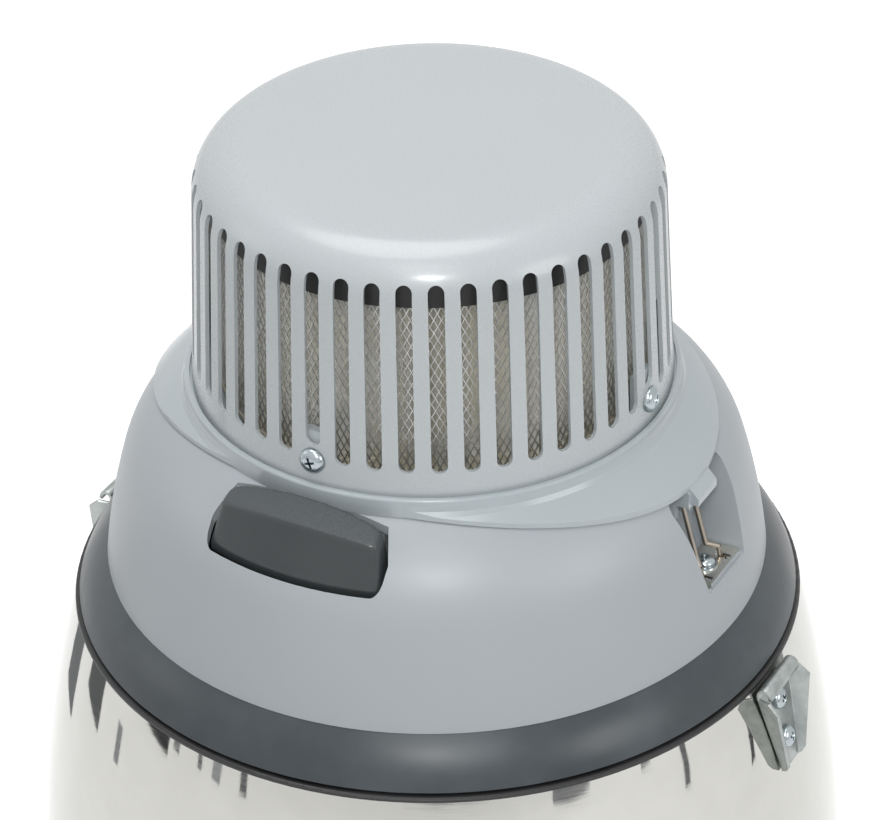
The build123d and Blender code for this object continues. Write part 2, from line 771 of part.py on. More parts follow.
with BuildPart() as cavity:
    add(dome_body(housing_t))
    for _, turn in SIDES:
        add(pocket(turn, seat_z, pocket_wall, pocket_wall, pocket_floor_t), mode=Mode.SUBTRACT)
    with BuildSketch(Plane.XY.offset(housing_z)):
        with PolarLocations(pan_screw_ring, 4, start_angle=45):
            Circle(boss_r)
        with PolarLocations(pan_screw_ring + boss_r + 5, 4, start_angle=45):
            Rectangle(14, 2.5)
    extrude(amount=housing_h, mode=Mode.SUBTRACT)
    add(ring(motor_r - 9, skirt_r, skirt_low, seat_z), mode=Mode.SUBTRACT)
    with BuildSketch(Plane.YZ.offset(ear_in), Plane.YZ.offset(-ear_out)):
        with Locations((hinge_y, hinge_z)):
            Circle(5)
        with Locations((hinge_y, hinge_z + 10)):
            Rectangle(10, 20)
    extrude(amount=ear_out - ear_in, mode=Mode.SUBTRACT)

with BuildPart() as motor_housing:
    add(dome_body())
    add(cavity.part, mode=Mode.SUBTRACT)
    add(ring(0, outlet_r, skirt_low + skirt_lip, seat_z), mode=Mode.SUBTRACT)
    add(ring(0, motor_r - 9, skirt_low, seat_z), mode=Mode.SUBTRACT)
    with BuildSketch(Plane.XZ.offset(outlet_r - 5)):
        with Locations((0, skirt_low + skirt_lip + 3)):
            Rectangle(14, 5)
    skirt_window = extrude(amount=2 * housing_t + 5, mode=Mode.PRIVATE)
    with PolarLocations(0, 8):
        add(skirt_window, mode=Mode.SUBTRACT)
    add(well(0, seat_z - 45, seat_z), mode=Mode.SUBTRACT)
    for _, turn in SIDES:
        add(pocket(turn, pocket_top, corner=pocket_corner), mode=Mode.SUBTRACT)
        add(lug_way(turn), mode=Mode.SUBTRACT)
        with BuildSketch(outward(pivot_x - groove_half, clip_floor, turn)):
            for side in (-1, 1):
                with Locations((side * (leg_half + journal_half) / 2, (pivot_z - clip_floor - groove_half) / 2)):
                    Rectangle(journal_half - leg_half + 2 * groove_half, clip_floor - pivot_z + groove_half)
        extrude(amount=2 * groove_half, mode=Mode.SUBTRACT)
        with BuildSketch(outward(pivot_x, clip_floor, turn)):
            with Locations((-leg_half, 0), (leg_half, 0)):
                Rectangle(2 * groove_half, 2 * (clip_floor - pivot_z + groove_half))
        extrude(amount=leg_relief, mode=Mode.SUBTRACT)
        with BuildSketch(Plane.XY.offset(clip_floor - 1)):
            with PolarLocations(clip_front + gap + rib_t / 2, 1, start_angle=turn):
                Rectangle(rib_t, 2 * rib_half)
        extrude(amount=rib_h + 1)
        with BuildSketch(Plane.XY.offset(clip_floor)):
            with PolarLocations(clip_screw_x, 1, start_angle=turn):
                Circle(clip_screw_r + snug)
        extrude(amount=-pocket_floor_t, mode=Mode.SUBTRACT)
    with BuildSketch(Plane.XY.offset(housing_z)):
        with PolarLocations(pan_screw_ring, 4, start_angle=45):
            Circle(pan_screw_r + snug)
    extrude(amount=14, mode=Mode.SUBTRACT)
    with BuildSketch(Plane.YZ):
        with Locations((hinge_y, hinge_z)):
            Circle(pin_r + snug)
    extrude(amount=ear_out + 1, both=True, mode=Mode.SUBTRACT)
    with BuildSketch(outward(housing_r - 20, gland_z, REAR)):
        Circle(gland_r + snug)
    extrude(amount=30, mode=Mode.SUBTRACT)
save(motor_housing.part, "motor_housing")

# ---- cable gland at the rear, bored for a mains cable
cable_r = 4.0
gland_in = housing_r - 14.0
gland_out = housing_r + 9.0
with BuildPart() as cable_gland:
    with BuildSketch(outward(housing_r - 6, gland_z, REAR)):
        Circle(gland_r + 3.5)
    extrude(amount=10)
    add(dome_body(-snug), mode=Mode.SUBTRACT)
    with BuildSketch(outward(gland_in, gland_z, REAR)):
        Circle(gland_r)
    extrude(amount=gland_out - gland_in)
    fillet(cable_gland.edges().filter_by(GeomType.CIRCLE).group_by(Axis.Y)[-1], 1.5)
    with BuildSketch(outward(gland_in, gland_z, REAR)):
        Circle(cable_r)
    extrude(amount=gland_out - gland_in, mode=Mode.SUBTRACT)
save(cable_gland.part, "cable_gland")

# ---- foot pedal, rocking on a pin behind it
ridge = (pedal_ridge_r, seat_z - pedal_ridge_drop)
pedal_low = seat_z - 32.0
pedal_side_gap = 1.4
pedal_wall = 2.4
pedal_corner = 4.0
pedal_edge = 2.5
pedal_back = pedal_ridge_r - 9.0
crown_arc = 105.0
front_foot = (well_front_r - 1.3, seat_z - 26.0)
arm_in, arm_out = 20.0, 24.0
arm_r = 4.0
push_y = 5.0 - pedal_ridge_r
push_r = 3.5
push_low = seat_z - 34.0
slope = radians(pedal_slope)
lean = (front_foot[0] - ridge[0]) / (ridge[1] - front_foot[1])


def pedal_form(inset, low):
    """Pedal's outer form with every face moved in by an inset."""
    top = ridge[1] - inset / cos(slope)
    half = well_half - pedal_side_gap - inset
    with BuildPart() as body:
        with BuildSketch(Plane.XY.offset(low)) as outline:
            Polygon(
                (half - 1, -pedal_back - inset), (half, -well_front_r),
                (-half, -well_front_r), (1 - half, -pedal_back - inset),
                align=None,
            )
            Circle(front_foot[0] - inset, mode=Mode.INTERSECT)
            fillet(outline.vertices(), pedal_corner)
        extrude(amount=seat_z + 3 - low)
        with BuildSketch(
            Plane(origin=(0, -ridge[0], top), x_dir=(1, 0, 0), z_dir=(0, cos(slope), sin(slope)))
        ):
            with Locations((0, crown_arc)):
                Circle(crown_arc)
        extrude(amount=40, both=True, mode=Mode.INTERSECT)
        add(
            turned(
                [
                    (0, low - 1),
                    (front_foot[0] - inset, low - 1),
                    (front_foot[0] - inset, front_foot[1]),
                    (ridge[0] - inset - lean * 12, ridge[1] + 12),
                    (0, ridge[1] + 12),
                ]
            ),
            mode=Mode.INTERSECT,
        )
    return body.part


arm_length = pedal_back + pedal_wall / 2 + hinge_y
with BuildPart() as foot_pedal:
    add(pedal_form(0, pedal_low))
    fillet(foot_pedal.faces().sort_by(Axis.Z)[-1].edges(), pedal_edge)
    add(pedal_form(pedal_wall, pedal_low - 1), mode=Mode.SUBTRACT)
    with BuildSketch(Plane.XY.offset(push_low)):
        with Locations((0, push_y)):
            Circle(push_r)
    extrude(amount=ridge[1] - push_low)
    with BuildSketch(Plane.YZ.offset(arm_in), Plane.YZ.offset(-arm_out)):
        with Locations((hinge_y, hinge_z)):
            Circle(arm_r)
        with Locations((hinge_y - arm_length / 2, hinge_z)):
            Rectangle(arm_length, 2 * arm_r)
    extrude(amount=arm_out - arm_in)
    with BuildSketch(Plane.YZ):
        with Locations((hinge_y, hinge_z)):
            Circle(pin_r + run)
    extrude(amount=arm_out + 1, both=True, mode=Mode.SUBTRACT)
save(foot_pedal.part, "foot_pedal")

with BuildPart() as pedal_pin:
    with BuildSketch(Plane.YZ):
        with Locations((hinge_y, hinge_z)):
            Circle(pin_r)
    extrude(amount=ear_out + 0.8, both=True)
    chamfer(pedal_pin.edges().filter_by(GeomType.CIRCLE), 0.4)
save(pedal_pin.part, "pedal_pin")

# ---- switch under the pedal: body on the pan, sprung plunger
switch_top = pan_top_z + 25.0
switch_half = 14.0
switch_back, switch_front = push_y + 12.0, push_y - 8.0
plunger_r = 3.0
plunger_head_r = 6.5
plunger_head_t = 3.3
plunger_top = push_low - gap
plunger_low = pan_top_z + 10.0
plunger_bore_low = pan_top_z + 7.0
spring_r = 4.8
spring_wire_r = 0.6
spring_low = switch_top + 0.1
spring_high = plunger_top - plunger_head_t - 0.1

with BuildPart() as switch_body:
    with BuildSketch(Plane.XY.offset(pan_top_z)):
        with Locations((0, (switch_back + switch_front) / 2)):
            RectangleRounded(2 * switch_half, switch_back - switch_front, 1.5)
    extrude(amount=switch_top - pan_top_z)
    with BuildSketch(Plane.XZ.offset(-switch_back)):
        with Locations((-7, pan_top_z + 8), (7, pan_top_z + 8)):
            Rectangle(0.8, 6.3)
    extrude(amount=-8)
    with BuildSketch(Plane.XY.offset(switch_top)):
        with Locations((0, push_y)):
            Circle(plunger_r + run)
    extrude(amount=plunger_bore_low - switch_top, mode=Mode.SUBTRACT)
save(switch_body.part, "switch_body")

with BuildPart() as switch_plunger:
    with BuildSketch(Plane.XY.offset(plunger_low)):
        with Locations((0, push_y)):
            Circle(plunger_r)
    extrude(amount=plunger_top - plunger_low)
    with BuildSketch(Plane.XY.offset(plunger_top - plunger_head_t)):
        with Locations((0, push_y)):
            Circle(plunger_head_r)
    extrude(amount=plunger_head_t)
save(switch_plunger.part, "switch_plunger")

spring_rise = spring_high - spring_low - 2 * spring_wire_r
with BuildPart() as coil_blank:
    with BuildLine() as coil:
        Helix(pitch=spring_rise / 4, height=spring_rise, radius=spring_r)
    with BuildSketch(Plane(origin=coil.line @ 0, z_dir=coil.line % 0)):
        Circle(spring_wire_r)
    sweep()
coil_at = Location((0, push_y, spring_low + spring_wire_r))
save(coil_blank.part.moved(coil_at), "pedal_spring")

# ================================================================ clips
clip_t = 1.2
clip_half = 14.5
clip_head_r, clip_head_t = 4.2, 2.8
bar_x, bar_z = pocket_x + 5.5, seat_z - 29.6
bar_half = 4.3

for name, turn in SIDES:
    with BuildPart() as clip_plate:
        with BuildSketch(Plane.XY.offset(clip_floor)):
            with Locations(((clip_back + clip_front) / 2, 0)):
                RectangleRounded(clip_front - clip_back, 2 * clip_half, 1)
            slot_mid = (clip_slot_back + clip_slot_front) / 2
            with Locations((slot_mid, leg_half), (slot_mid, -leg_half)):
                Rectangle(clip_slot_front - clip_slot_back, 3, mode=Mode.SUBTRACT)
            with Locations((clip_screw_x, 0)):
                Circle(clip_screw_r + snug, mode=Mode.SUBTRACT)
        extrude(amount=clip_t)
    save(clip_plate.part.rotate(Axis.Z, turn), f"clip_plate_{name}")

with BuildPart() as clip_screws:
    for _, turn in SIDES:
        seat = Plane(
            origin=(clip_screw_x * cos(radians(turn)), 0, clip_floor + clip_t), z_dir=(0, 0, 1)
        )
        add(pan_screw(seat, clip_head_r, clip_head_t, clip_screw_r, clip_t + pocket_floor_t - 1))
save(clip_screws.part, "clip_screws")

# wire bails hinged under the plates and hooked over the collar's lugs
bail_half = [
    (pivot_x, journal_half, pivot_z),
    (pivot_x, leg_half, pivot_z),
    (pivot_x - 1.5, leg_half, clip_floor + 4.8),
    (pivot_x - 5.1, bar_half, clip_floor + 7.3),
    (bar_x, bar_half, bar_z),
]
with BuildPart() as bail:
    with BuildLine() as wire:
        Polyline(*bail_half, *[(x, -y, z) for x, y, z in reversed(bail_half)])
    with BuildSketch(Plane(origin=bail_half[0], z_dir=(0, -1, 0))):
        Circle(wire_r)
    sweep(transition=Transition.ROUND)
for name, turn in SIDES:
    save(bail.part.rotate(Axis.Z, turn), f"bail_{name}")

# ================================================================ collar under the cage
collar_in = cage_r + 1.0
collar_low = seat_z - 6.3
collar_lip = seat_z + 1.2
collar_floor_t = 2.4
groove_drop = 1.2
flange_gap = 0.7         # shadow line between the flange and the dome
flange_low = seat_z - 26.0
spigot_r = outlet_r - 0.5
spigot_t = 3.5
hub_r = 9.0
hub_low = seat_z - 8.0
tab_w, tab_t = 11.0, 3.0
tab_high = seat_z + 21.0
cage_screw_z = seat_z + 10.0
cage_screw_r = 2.0
lug_half = 7.8
lug_in, lug_out = flange_long - 4.0, flange_long + 3.5
lug_low, lug_high = seat_z - 25.5, seat_z - 22.6
step_half, step_out, step_low = 8.8, flange_long, seat_z - 27.0
tongue_half = 8.5
tongue_in, tongue_out = pocket_x + 1.0, bar_x - wire_r - gap
tongue_low = seat_z - 34.0
nub_half, nub_out = 2.6, bar_x + 1.8
nub_high = bar_z - wire_r - 0.2
seat_rib = (60.0, 63.0)


with BuildPart() as flange:
    add(dome_body(-flange_gap - flange_t))
    add(
        turned(
            [
                (collar_in, seat_z - 12),
                (collar_in, seat_z - 1),
                (collar_r, seat_z - 1),
                (collar_r + 0.5, seat_z - 3.2),
                (collar_r + 1.6, seat_z - 4.9),
                (collar_r + 3.6, seat_z - 6.6),
                (collar_r + 7.5, seat_z - 8.7),
                (collar_r + 7.5, seat_z - 12),
            ]
        )
    )
    add(dome_body(-flange_gap), mode=Mode.SUBTRACT)
    with BuildSketch(Plane.XY.offset(flange_low)):
        Ellipse(flange_long, flange_short)
        Circle(collar_in, mode=Mode.SUBTRACT)
    extrude(amount=seat_z - flange_low, mode=Mode.INTERSECT)

with BuildPart() as lug:
    with BuildSketch(Plane.XZ):
        Polygon(
            (lug_in, lug_low), (lug_out, lug_low), (lug_out, lug_high), (flange_long, seat_z - 18.6),
            (lug_in, seat_z - 16.5),
            align=None,
        )
    extrude(amount=lug_half, both=True)
    with BuildSketch(Plane.XZ):
        Polygon(
            (tongue_in, step_low), (step_out, step_low), (step_out, seat_z - 20.5),
            (tongue_in, seat_z - 14.5),
            align=None,
        )
    extrude(amount=step_half, both=True)
    with BuildSketch(Plane.XZ):
        Polygon(
            (tongue_in, tongue_low), (tongue_out, tongue_low), (tongue_out, seat_z - 12.5),
            (tongue_in, seat_z - 10.5),
            align=None,
        )
    extrude(amount=tongue_half, both=True)
    with BuildSketch(Plane.XZ):
        Polygon(
            (tongue_in, tongue_low), (tongue_out, tongue_low), (nub_out, tongue_low + 1.4),
            (nub_out, nub_high), (tongue_in, nub_high),
            align=None,
        )
    extrude(amount=nub_half, both=True)

cage_draft = (cage_r - cage_top_r) / (cage_h - cage_corner_r)
cage_tilt = degrees(atan(cage_draft))
tab_r = cage_r - cage_t - cage_draft * (tab_high - seat_z) - gap
screw_face_r = cage_r - cage_draft * (cage_screw_z - seat_z)
screw_faces = [outward(screw_face_r, cage_screw_z, turn, cage_tilt) for turn in (FRONT, RIGHT, REAR, LEFT)]

with BuildPart() as collar:
    add(ring(collar_in, collar_r, collar_low, collar_lip))
    fillet(collar.edges().group_by(Axis.Z)[-1].sort_by(SortBy.RADIUS)[-1], 1)
    add(dome_body(-gap), mode=Mode.SUBTRACT)
    add(flange.part)
    add(ring(spigot_r - spigot_t, collar_in + 1, seat_z - collar_floor_t, seat_z))
    add(ring(cage_r, collar_in, seat_z - groove_drop, seat_z + 1), mode=Mode.SUBTRACT)
    add(ring(spigot_r - spigot_t, spigot_r, seat_z - 14, seat_z))
    add(ring(seat_rib[0], seat_rib[1], housing_z + crown[1], seat_z))
    add(ring(0, hub_r, hub_low, seat_z - 2))
    with BuildSketch(Plane.XY.offset(hub_low)):
        with PolarLocations((hub_r + spigot_r - spigot_t) / 2, 3, start_angle=FRONT):
            Rectangle(spigot_r - spigot_t - hub_r + 2, 6)
    extrude(amount=seat_z - 2 - hub_low)
    for _, turn in SIDES:
        add(lug.part.rotate(Axis.Z, turn))
    with BuildSketch(Plane.XY.offset(seat_z)):
        with PolarLocations(0, 4):
            with Locations((tab_r - tab_t / 2, 0)):
                Rectangle(tab_t, tab_w)
        Circle(tab_r, mode=Mode.INTERSECT)
    extrude(amount=tab_high - seat_z)
    with BuildSketch(*screw_faces):
        Circle(cage_screw_r + snug)
    extrude(amount=-8, mode=Mode.SUBTRACT)
    add(ring(0, rod_r + snug, hub_low - 1, seat_z), mode=Mode.SUBTRACT)
save(collar.part, "collar")

# ================================================================ exhaust cage


def cage_body(inset, low):
    """Solid under the cage's outer skin, less an inset."""
    top = cage_h - inset
    narrow = cage_r - inset - cage_draft * top
    with BuildPart() as body:
        add(turned([(0, low), (cage_r - inset, low), (narrow, seat_z + top), (0, seat_z + top)]))
        fillet(
            body.edges().filter_by(GeomType.CIRCLE).sort_by(Axis.Z)[-1], cage_corner_r - inset
        )
    return body.part


slot_pitch = 360 / slot_count
slot_turns = [i * slot_pitch for i in range(slot_count)]
slot_over_screw = seat_z + 16.0


def slot_cut(low, high, turns):
    """Upright round-ended slots between two heights, as one tool."""
    with BuildPart() as body:
        with BuildSketch(*[outward(cage_r - 25, (low + high) / 2, turn) for turn in turns]):
            SlotOverall(high - low, slot_w, rotation=90)
        extrude(amount=30)
    return body.part


with BuildPart() as exhaust_cage:
    add(cage_body(0, seat_z))
    add(cage_body(cage_t, seat_z - 1), mode=Mode.SUBTRACT)
    plain = [turn for turn in slot_turns if turn % 90]
    add(slot_cut(seat_z + slot_low, seat_z + slot_high, plain), mode=Mode.SUBTRACT)
    add(slot_cut(slot_over_screw, seat_z + slot_high, (FRONT, RIGHT, REAR, LEFT)), mode=Mode.SUBTRACT)
    with BuildSketch(*screw_faces):
        Circle(cage_screw_r + snug)
    extrude(amount=-5, mode=Mode.SUBTRACT)
save(exhaust_cage.part, "exhaust_cage")

with BuildPart() as cage_screws:
    for face in screw_faces:
        add(pan_screw(face, 5.0, 3.0, cage_screw_r, 7))
save(cage_screws.part, "cage_screws")

# ---- exhaust filter cartridge, held down by a rod and nut
cap_r = cartridge_r + 1
base_low, base_high = seat_z + 1.9, seat_z + 3.4
cap_low, cap_high = seat_z + 73.4, seat_z + 86.0
pleat_out, pleat_in, pleat_shift = 77.0, 67.6, 2.1
mesh_t = 0.8

with BuildPart() as cartridge_seal:
    add(ring(52, 78, seat_z + gap, base_low - gap))
save(cartridge_seal.part, "cartridge_seal")

with BuildPart() as cartridge_base_cap:
    add(ring(50, cap_r, base_low, base_high))
save(cartridge_base_cap.part, "cartridge_base_cap")


def pleat_star(shift):
    """Corner points of the pleated outline, moved in by a shift."""
    points = []
    for i in range(2 * pleat_count):
        a, r = pi * i / pleat_count, (pleat_in if i % 2 else pleat_out) - shift
        points.append((r * cos(a), r * sin(a)))
    return points


with BuildPart() as filter_medium:
    with BuildSketch(Plane.XY.offset(base_high)):
        Polygon(*pleat_star(0), align=None)
        Polygon(*pleat_star(pleat_shift), align=None, mode=Mode.SUBTRACT)
    extrude(amount=cap_low - base_high)
save(filter_medium.part, "filter_medium")

with BuildPart() as filter_mesh:
    add(ring(cartridge_r - mesh_t, cartridge_r, base_high, cap_low))
save(filter_mesh.part, "filter_mesh")

with BuildPart() as cartridge_top_cap:
    add(ring(0, cap_r, cap_low, cap_high))
    fillet(cartridge_top_cap.edges().filter_by(GeomType.CIRCLE).sort_by(Axis.Z)[-1], 4)
    add(ring(14, cap_r - 12, cap_high - 3, cap_high), mode=Mode.SUBTRACT)
    add(ring(0, rod_r + run, cap_low, cap_high), mode=Mode.SUBTRACT)
save(cartridge_top_cap.part, "cartridge_top_cap")

with BuildPart() as tie_rod:
    add(ring(0, rod_r, hub_low - 2, seat_z + 93))
    chamfer(tie_rod.edges().filter_by(GeomType.CIRCLE), 0.8)
save(tie_rod.part, "tie_rod")

with BuildPart() as rod_nut:
    add(ring(0, 10, cap_high, cap_high + 1.2))
    with BuildSketch(Plane.XY.offset(cap_high)):
        RegularPolygon(7.5, 6)
    extrude(amount=4.6)
    add(ring(0, rod_r + snug, cap_high, cap_high + 5), mode=Mode.SUBTRACT)
save(rod_nut.part, "rod_nut")
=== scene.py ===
# %% [markdown]
# # A shop vacuum, dressed for its portrait
# The solids come from the CAD model and already have their true sizes, so the
# work here is what a painter and a fitter would do: finishes for every part,
# and the small forms that are too fine for the solids, such as the wire mesh
# round the exhaust filter and the cross recesses in the screws.

# %% Load the frame
import json
import math

import bpy
from mathutils import Euler, Matrix, Vector


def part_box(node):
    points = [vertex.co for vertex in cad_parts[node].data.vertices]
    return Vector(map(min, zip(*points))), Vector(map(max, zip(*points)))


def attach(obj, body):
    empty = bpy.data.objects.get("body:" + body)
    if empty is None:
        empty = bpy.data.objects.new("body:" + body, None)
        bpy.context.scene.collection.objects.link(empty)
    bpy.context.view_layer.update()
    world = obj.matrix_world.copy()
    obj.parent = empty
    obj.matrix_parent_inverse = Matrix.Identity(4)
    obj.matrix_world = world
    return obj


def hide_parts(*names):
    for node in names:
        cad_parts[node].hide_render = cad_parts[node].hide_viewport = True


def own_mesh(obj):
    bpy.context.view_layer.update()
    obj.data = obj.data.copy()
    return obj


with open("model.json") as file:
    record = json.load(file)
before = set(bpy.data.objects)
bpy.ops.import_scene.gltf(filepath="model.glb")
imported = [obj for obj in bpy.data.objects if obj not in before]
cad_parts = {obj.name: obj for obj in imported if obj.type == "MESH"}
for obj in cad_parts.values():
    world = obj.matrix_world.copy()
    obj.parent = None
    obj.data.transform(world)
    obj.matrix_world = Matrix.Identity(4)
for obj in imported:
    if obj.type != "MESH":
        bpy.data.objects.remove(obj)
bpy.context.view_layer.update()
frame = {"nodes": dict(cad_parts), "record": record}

scene = bpy.context.scene
scene.view_settings.view_transform = "Standard"
nodes = frame["nodes"]
print("solids:", len(nodes))

# %% [markdown]
# ## Heights that the pieces share
# Every measure is read from the solids or stated once here, in metres. The
# seat of the exhaust cage is the height most of the head is built from.

# %% Shared heights
SEAT_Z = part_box("exhaust_cage")[0][2]
print("cage seat at", round(SEAT_Z, 4), "m")

# %% [markdown]
# ## The camera
# It stands a good metre in front of the machine, a little to the right of the
# pedal, and looks down on the cage. A long lens at that distance keeps the
# upright lines nearly parallel, as in a catalogue picture.

# %% Place the camera
# Turns are in radians, lengths in metres, the lens and its film in millimetres.
VIEW_TURN = math.radians(28.8)
VIEW_DOWN = 0.58298
VIEW_ROLL = -0.01955
VIEW_DISTANCE = 1.47268
LENS, FILM_WIDTH = 158.16, 36
FAR_END = 50
AIM = Vector((0.003596, 0.001977, SEAT_Z - 0.02162))

turn = Euler((math.pi / 2 - VIEW_DOWN, 0, VIEW_TURN)).to_matrix()
look = turn @ Matrix.Rotation(VIEW_ROLL, 3, "Z")
stand = AIM + look @ Vector((0, 0, VIEW_DISTANCE))
bpy.ops.object.camera_add(location=stand, rotation=look.to_euler())
camera = bpy.context.object
camera.name = "portrait_camera"
camera.data.lens = LENS
camera.data.sensor_width = FILM_WIDTH
camera.data.clip_end = FAR_END
scene.camera = camera
print("camera at", [round(c, 3) for c in camera.location])

# %% [markdown]
# ## A short way to write shaders
# Finishes are built from nodes. Adding and linking them one by one takes many
# lines, so two small classes do it: one wraps a socket, so that sums can be
# written as sums, and the other adds a node with its settings and its values.

# %% A socket that does sums
class Value:
    """A socket that takes + and * with numbers and with other sockets."""

    def __init__(self, finish, socket):
        self.finish, self.socket = finish, socket

    def math(self, operation, *others):
        values = {0: self}
        for i, other in enumerate(others):
            values[i + 1] = other
        return self.finish.node("ShaderNodeMath", {"operation": operation}, values)

    def __add__(self, other):
        return self.math("ADD", other)

    def __radd__(self, other):
        return self.math("ADD", other)

    def __mul__(self, other):
        return self.math("MULTIPLY", other)

    def __rmul__(self, other):
        return self.math("MULTIPLY", other)


# %% A node tree that takes its nodes in one line each
class Finish:
    """A node tree for a material or for the world."""

    def __init__(self, owner):
        owner.use_nodes = True
        self.owner, self.tree = owner, owner.node_tree
        self.tree.nodes.clear()

    def node(self, kind, settings=None, values=None, out=0):
        made = self.tree.nodes.new(kind)
        for key, value in (settings or {}).items():
            setattr(made, key, value)
        for key, value in (values or {}).items():
            socket = made.inputs[key]
            if isinstance(value, Value):
                self.tree.links.new(value.socket, socket)
            elif socket.type == "RGBA" and len(value) == 3:
                socket.default_value = (*value, 1)
            else:
                socket.default_value = value
        return Value(self, made.outputs[out]) if made.outputs else None

    def place(self):
        return self.node("ShaderNodeTexCoord", out="Object")

    def stretched(self, size):
        return self.node("ShaderNodeMapping", values={"Vector": self.place(), "Scale": size})

    def noise(self, scale, detail=2.0, rough=0.5, at=None):
        values = {"Vector": at or self.place(), "Scale": scale}
        values |= {"Detail": detail, "Roughness": rough}
        return self.node("ShaderNodeTexNoise", values=values, out="Fac")

    def step(self, value, low, high):
        limits = {0: value, 1: low, 2: high, 3: 0.0, 4: 1.0}
        return self.node("ShaderNodeMapRange", {"interpolation_type": "SMOOTHSTEP"}, limits)

    def blend(self, factor, first, second):
        values = {0: factor, 6: first, 7: second}
        return self.node("ShaderNodeMix", {"data_type": "RGBA"}, values, out=2)

    def bump(self, height, depth, strength=1.0):
        values = {"Height": height, "Distance": depth, "Strength": strength}
        return self.node("ShaderNodeBump", values=values)

    def shade(self, **sockets):
        values = {key.replace("_", " "): value for key, value in sockets.items()}
        return self.node("ShaderNodeBsdfPrincipled", values=values)

    def end(self, shader, kind="ShaderNodeOutputMaterial"):
        self.node(kind, values={0: shader})
        return self.owner


def finish(name):
    return Finish(bpy.data.materials.new(name))


# %% [markdown]
# ## The room
# A white sweep is the plainest room for a product: the floor runs on past the
# view and the world behind it is the same white. Only rays from the camera and
# rays mirrored in metal see that white. All other rays meet a dim grey, so the
# white room doesn't flood the part with light and its shadows stay on the floor.

# %% White room
FLOOR_SIZE = 40
FLOOR_GREY = (0.85, 0.85, 0.85)
FLOOR_GLOW = 0.62
ROOM_WHITE = (1.0, 1.0, 1.0)
FILL_GREY = (0.93, 0.95, 0.97)
FILL_LEVEL = 0.22


def seen_directly(world_or_floor):
    """1 for rays from the camera or out of a mirror or glass."""
    path = world_or_floor.node("ShaderNodeLightPath", out="Is Camera Ray")
    rays = path.socket.node.outputs
    glossy = Value(world_or_floor, rays["Is Glossy Ray"])
    through = Value(world_or_floor, rays["Is Transmission Ray"])
    return path.math("MAXIMUM", glossy).math("MAXIMUM", through)


room = Finish(bpy.data.worlds.new("white_room"))
scene.world = room.owner
seen = room.node("ShaderNodeBackground", values={"Color": ROOM_WHITE, "Strength": 1.0})
lit = room.node("ShaderNodeBackground", values={"Color": FILL_GREY, "Strength": FILL_LEVEL})
mixed = room.node("ShaderNodeMixShader", values={0: seen_directly(room), 1: lit, 2: seen})
room.end(mixed, "ShaderNodeOutputWorld")

bpy.ops.object.select_all(action="DESELECT")
bpy.ops.mesh.primitive_plane_add(size=FLOOR_SIZE)
floor = bpy.context.object
floor.name = "floor"
floor_white = finish("floor_white")
paper = floor_white.shade(Base_Color=FLOOR_GREY, Roughness=0.9)
glow_level = seen_directly(floor_white) * FLOOR_GLOW
glow = floor_white.node(
    "ShaderNodeEmission", values={"Color": ROOM_WHITE, "Strength": glow_level}
)
both = floor_white.node("ShaderNodeAddShader", values={0: paper, 1: glow})
floor.data.materials.append(floor_white.end(both))
print("floor:", FLOOR_SIZE, "m wide")

# %% [markdown]
# ## The lamps
# One wide soft box hangs over the machine and does most of the work. Others
# stand in front of it and at its sides, and a faint one low in front. Large
# lamps give the soft edges that the shadows under the collar have. The small
# box beside the camera shines straight in through the slots, so the filter
# behind them is lit.

# %% Soft boxes
LAMPS_FACE = Vector((0, 0, 0.35))
LAMPS = (
    # name, place, width across, watts
    ("overhead_box", (-0.3, 0.1, 2.2), 1.4, 16.5),
    ("front_box", (0.45, -1.15, 2.25), 0.9, 4.5),
    ("eye_level_box", (0.64, -1.17, 1.40), 0.3, 7.5),
    ("low_front_box", (0.9, -2.2, 0.9), 1.2, 0.5),
    ("right_box", (2.1, -0.3, 1.2), 1.0, 8.0),
    ("left_box", (-2.0, -0.9, 1.2), 1.0, 2.0),
)
for name, spot, size, power in LAMPS:
    bpy.ops.object.light_add(type="AREA", location=spot)
    lamp = bpy.context.object
    lamp.name = name
    lamp.data.shape = "DISK"
    lamp.data.size = size
    lamp.data.energy = power
    aim = LAMPS_FACE - lamp.location
    lamp.rotation_euler = aim.to_track_quat("-Z", "Y").to_euler()
print("lamps:", len(LAMPS))

# %% [markdown]
# ## Grey cards for the polished barrel
# A mirror in an all-white room has no shape. In a studio, dark cards stand round
# a polished piece so that it has streaks to mirror. These stand on the floor in
# several greys and are seen by mirror rays only, so they shade nothing and stay
# out of the picture.

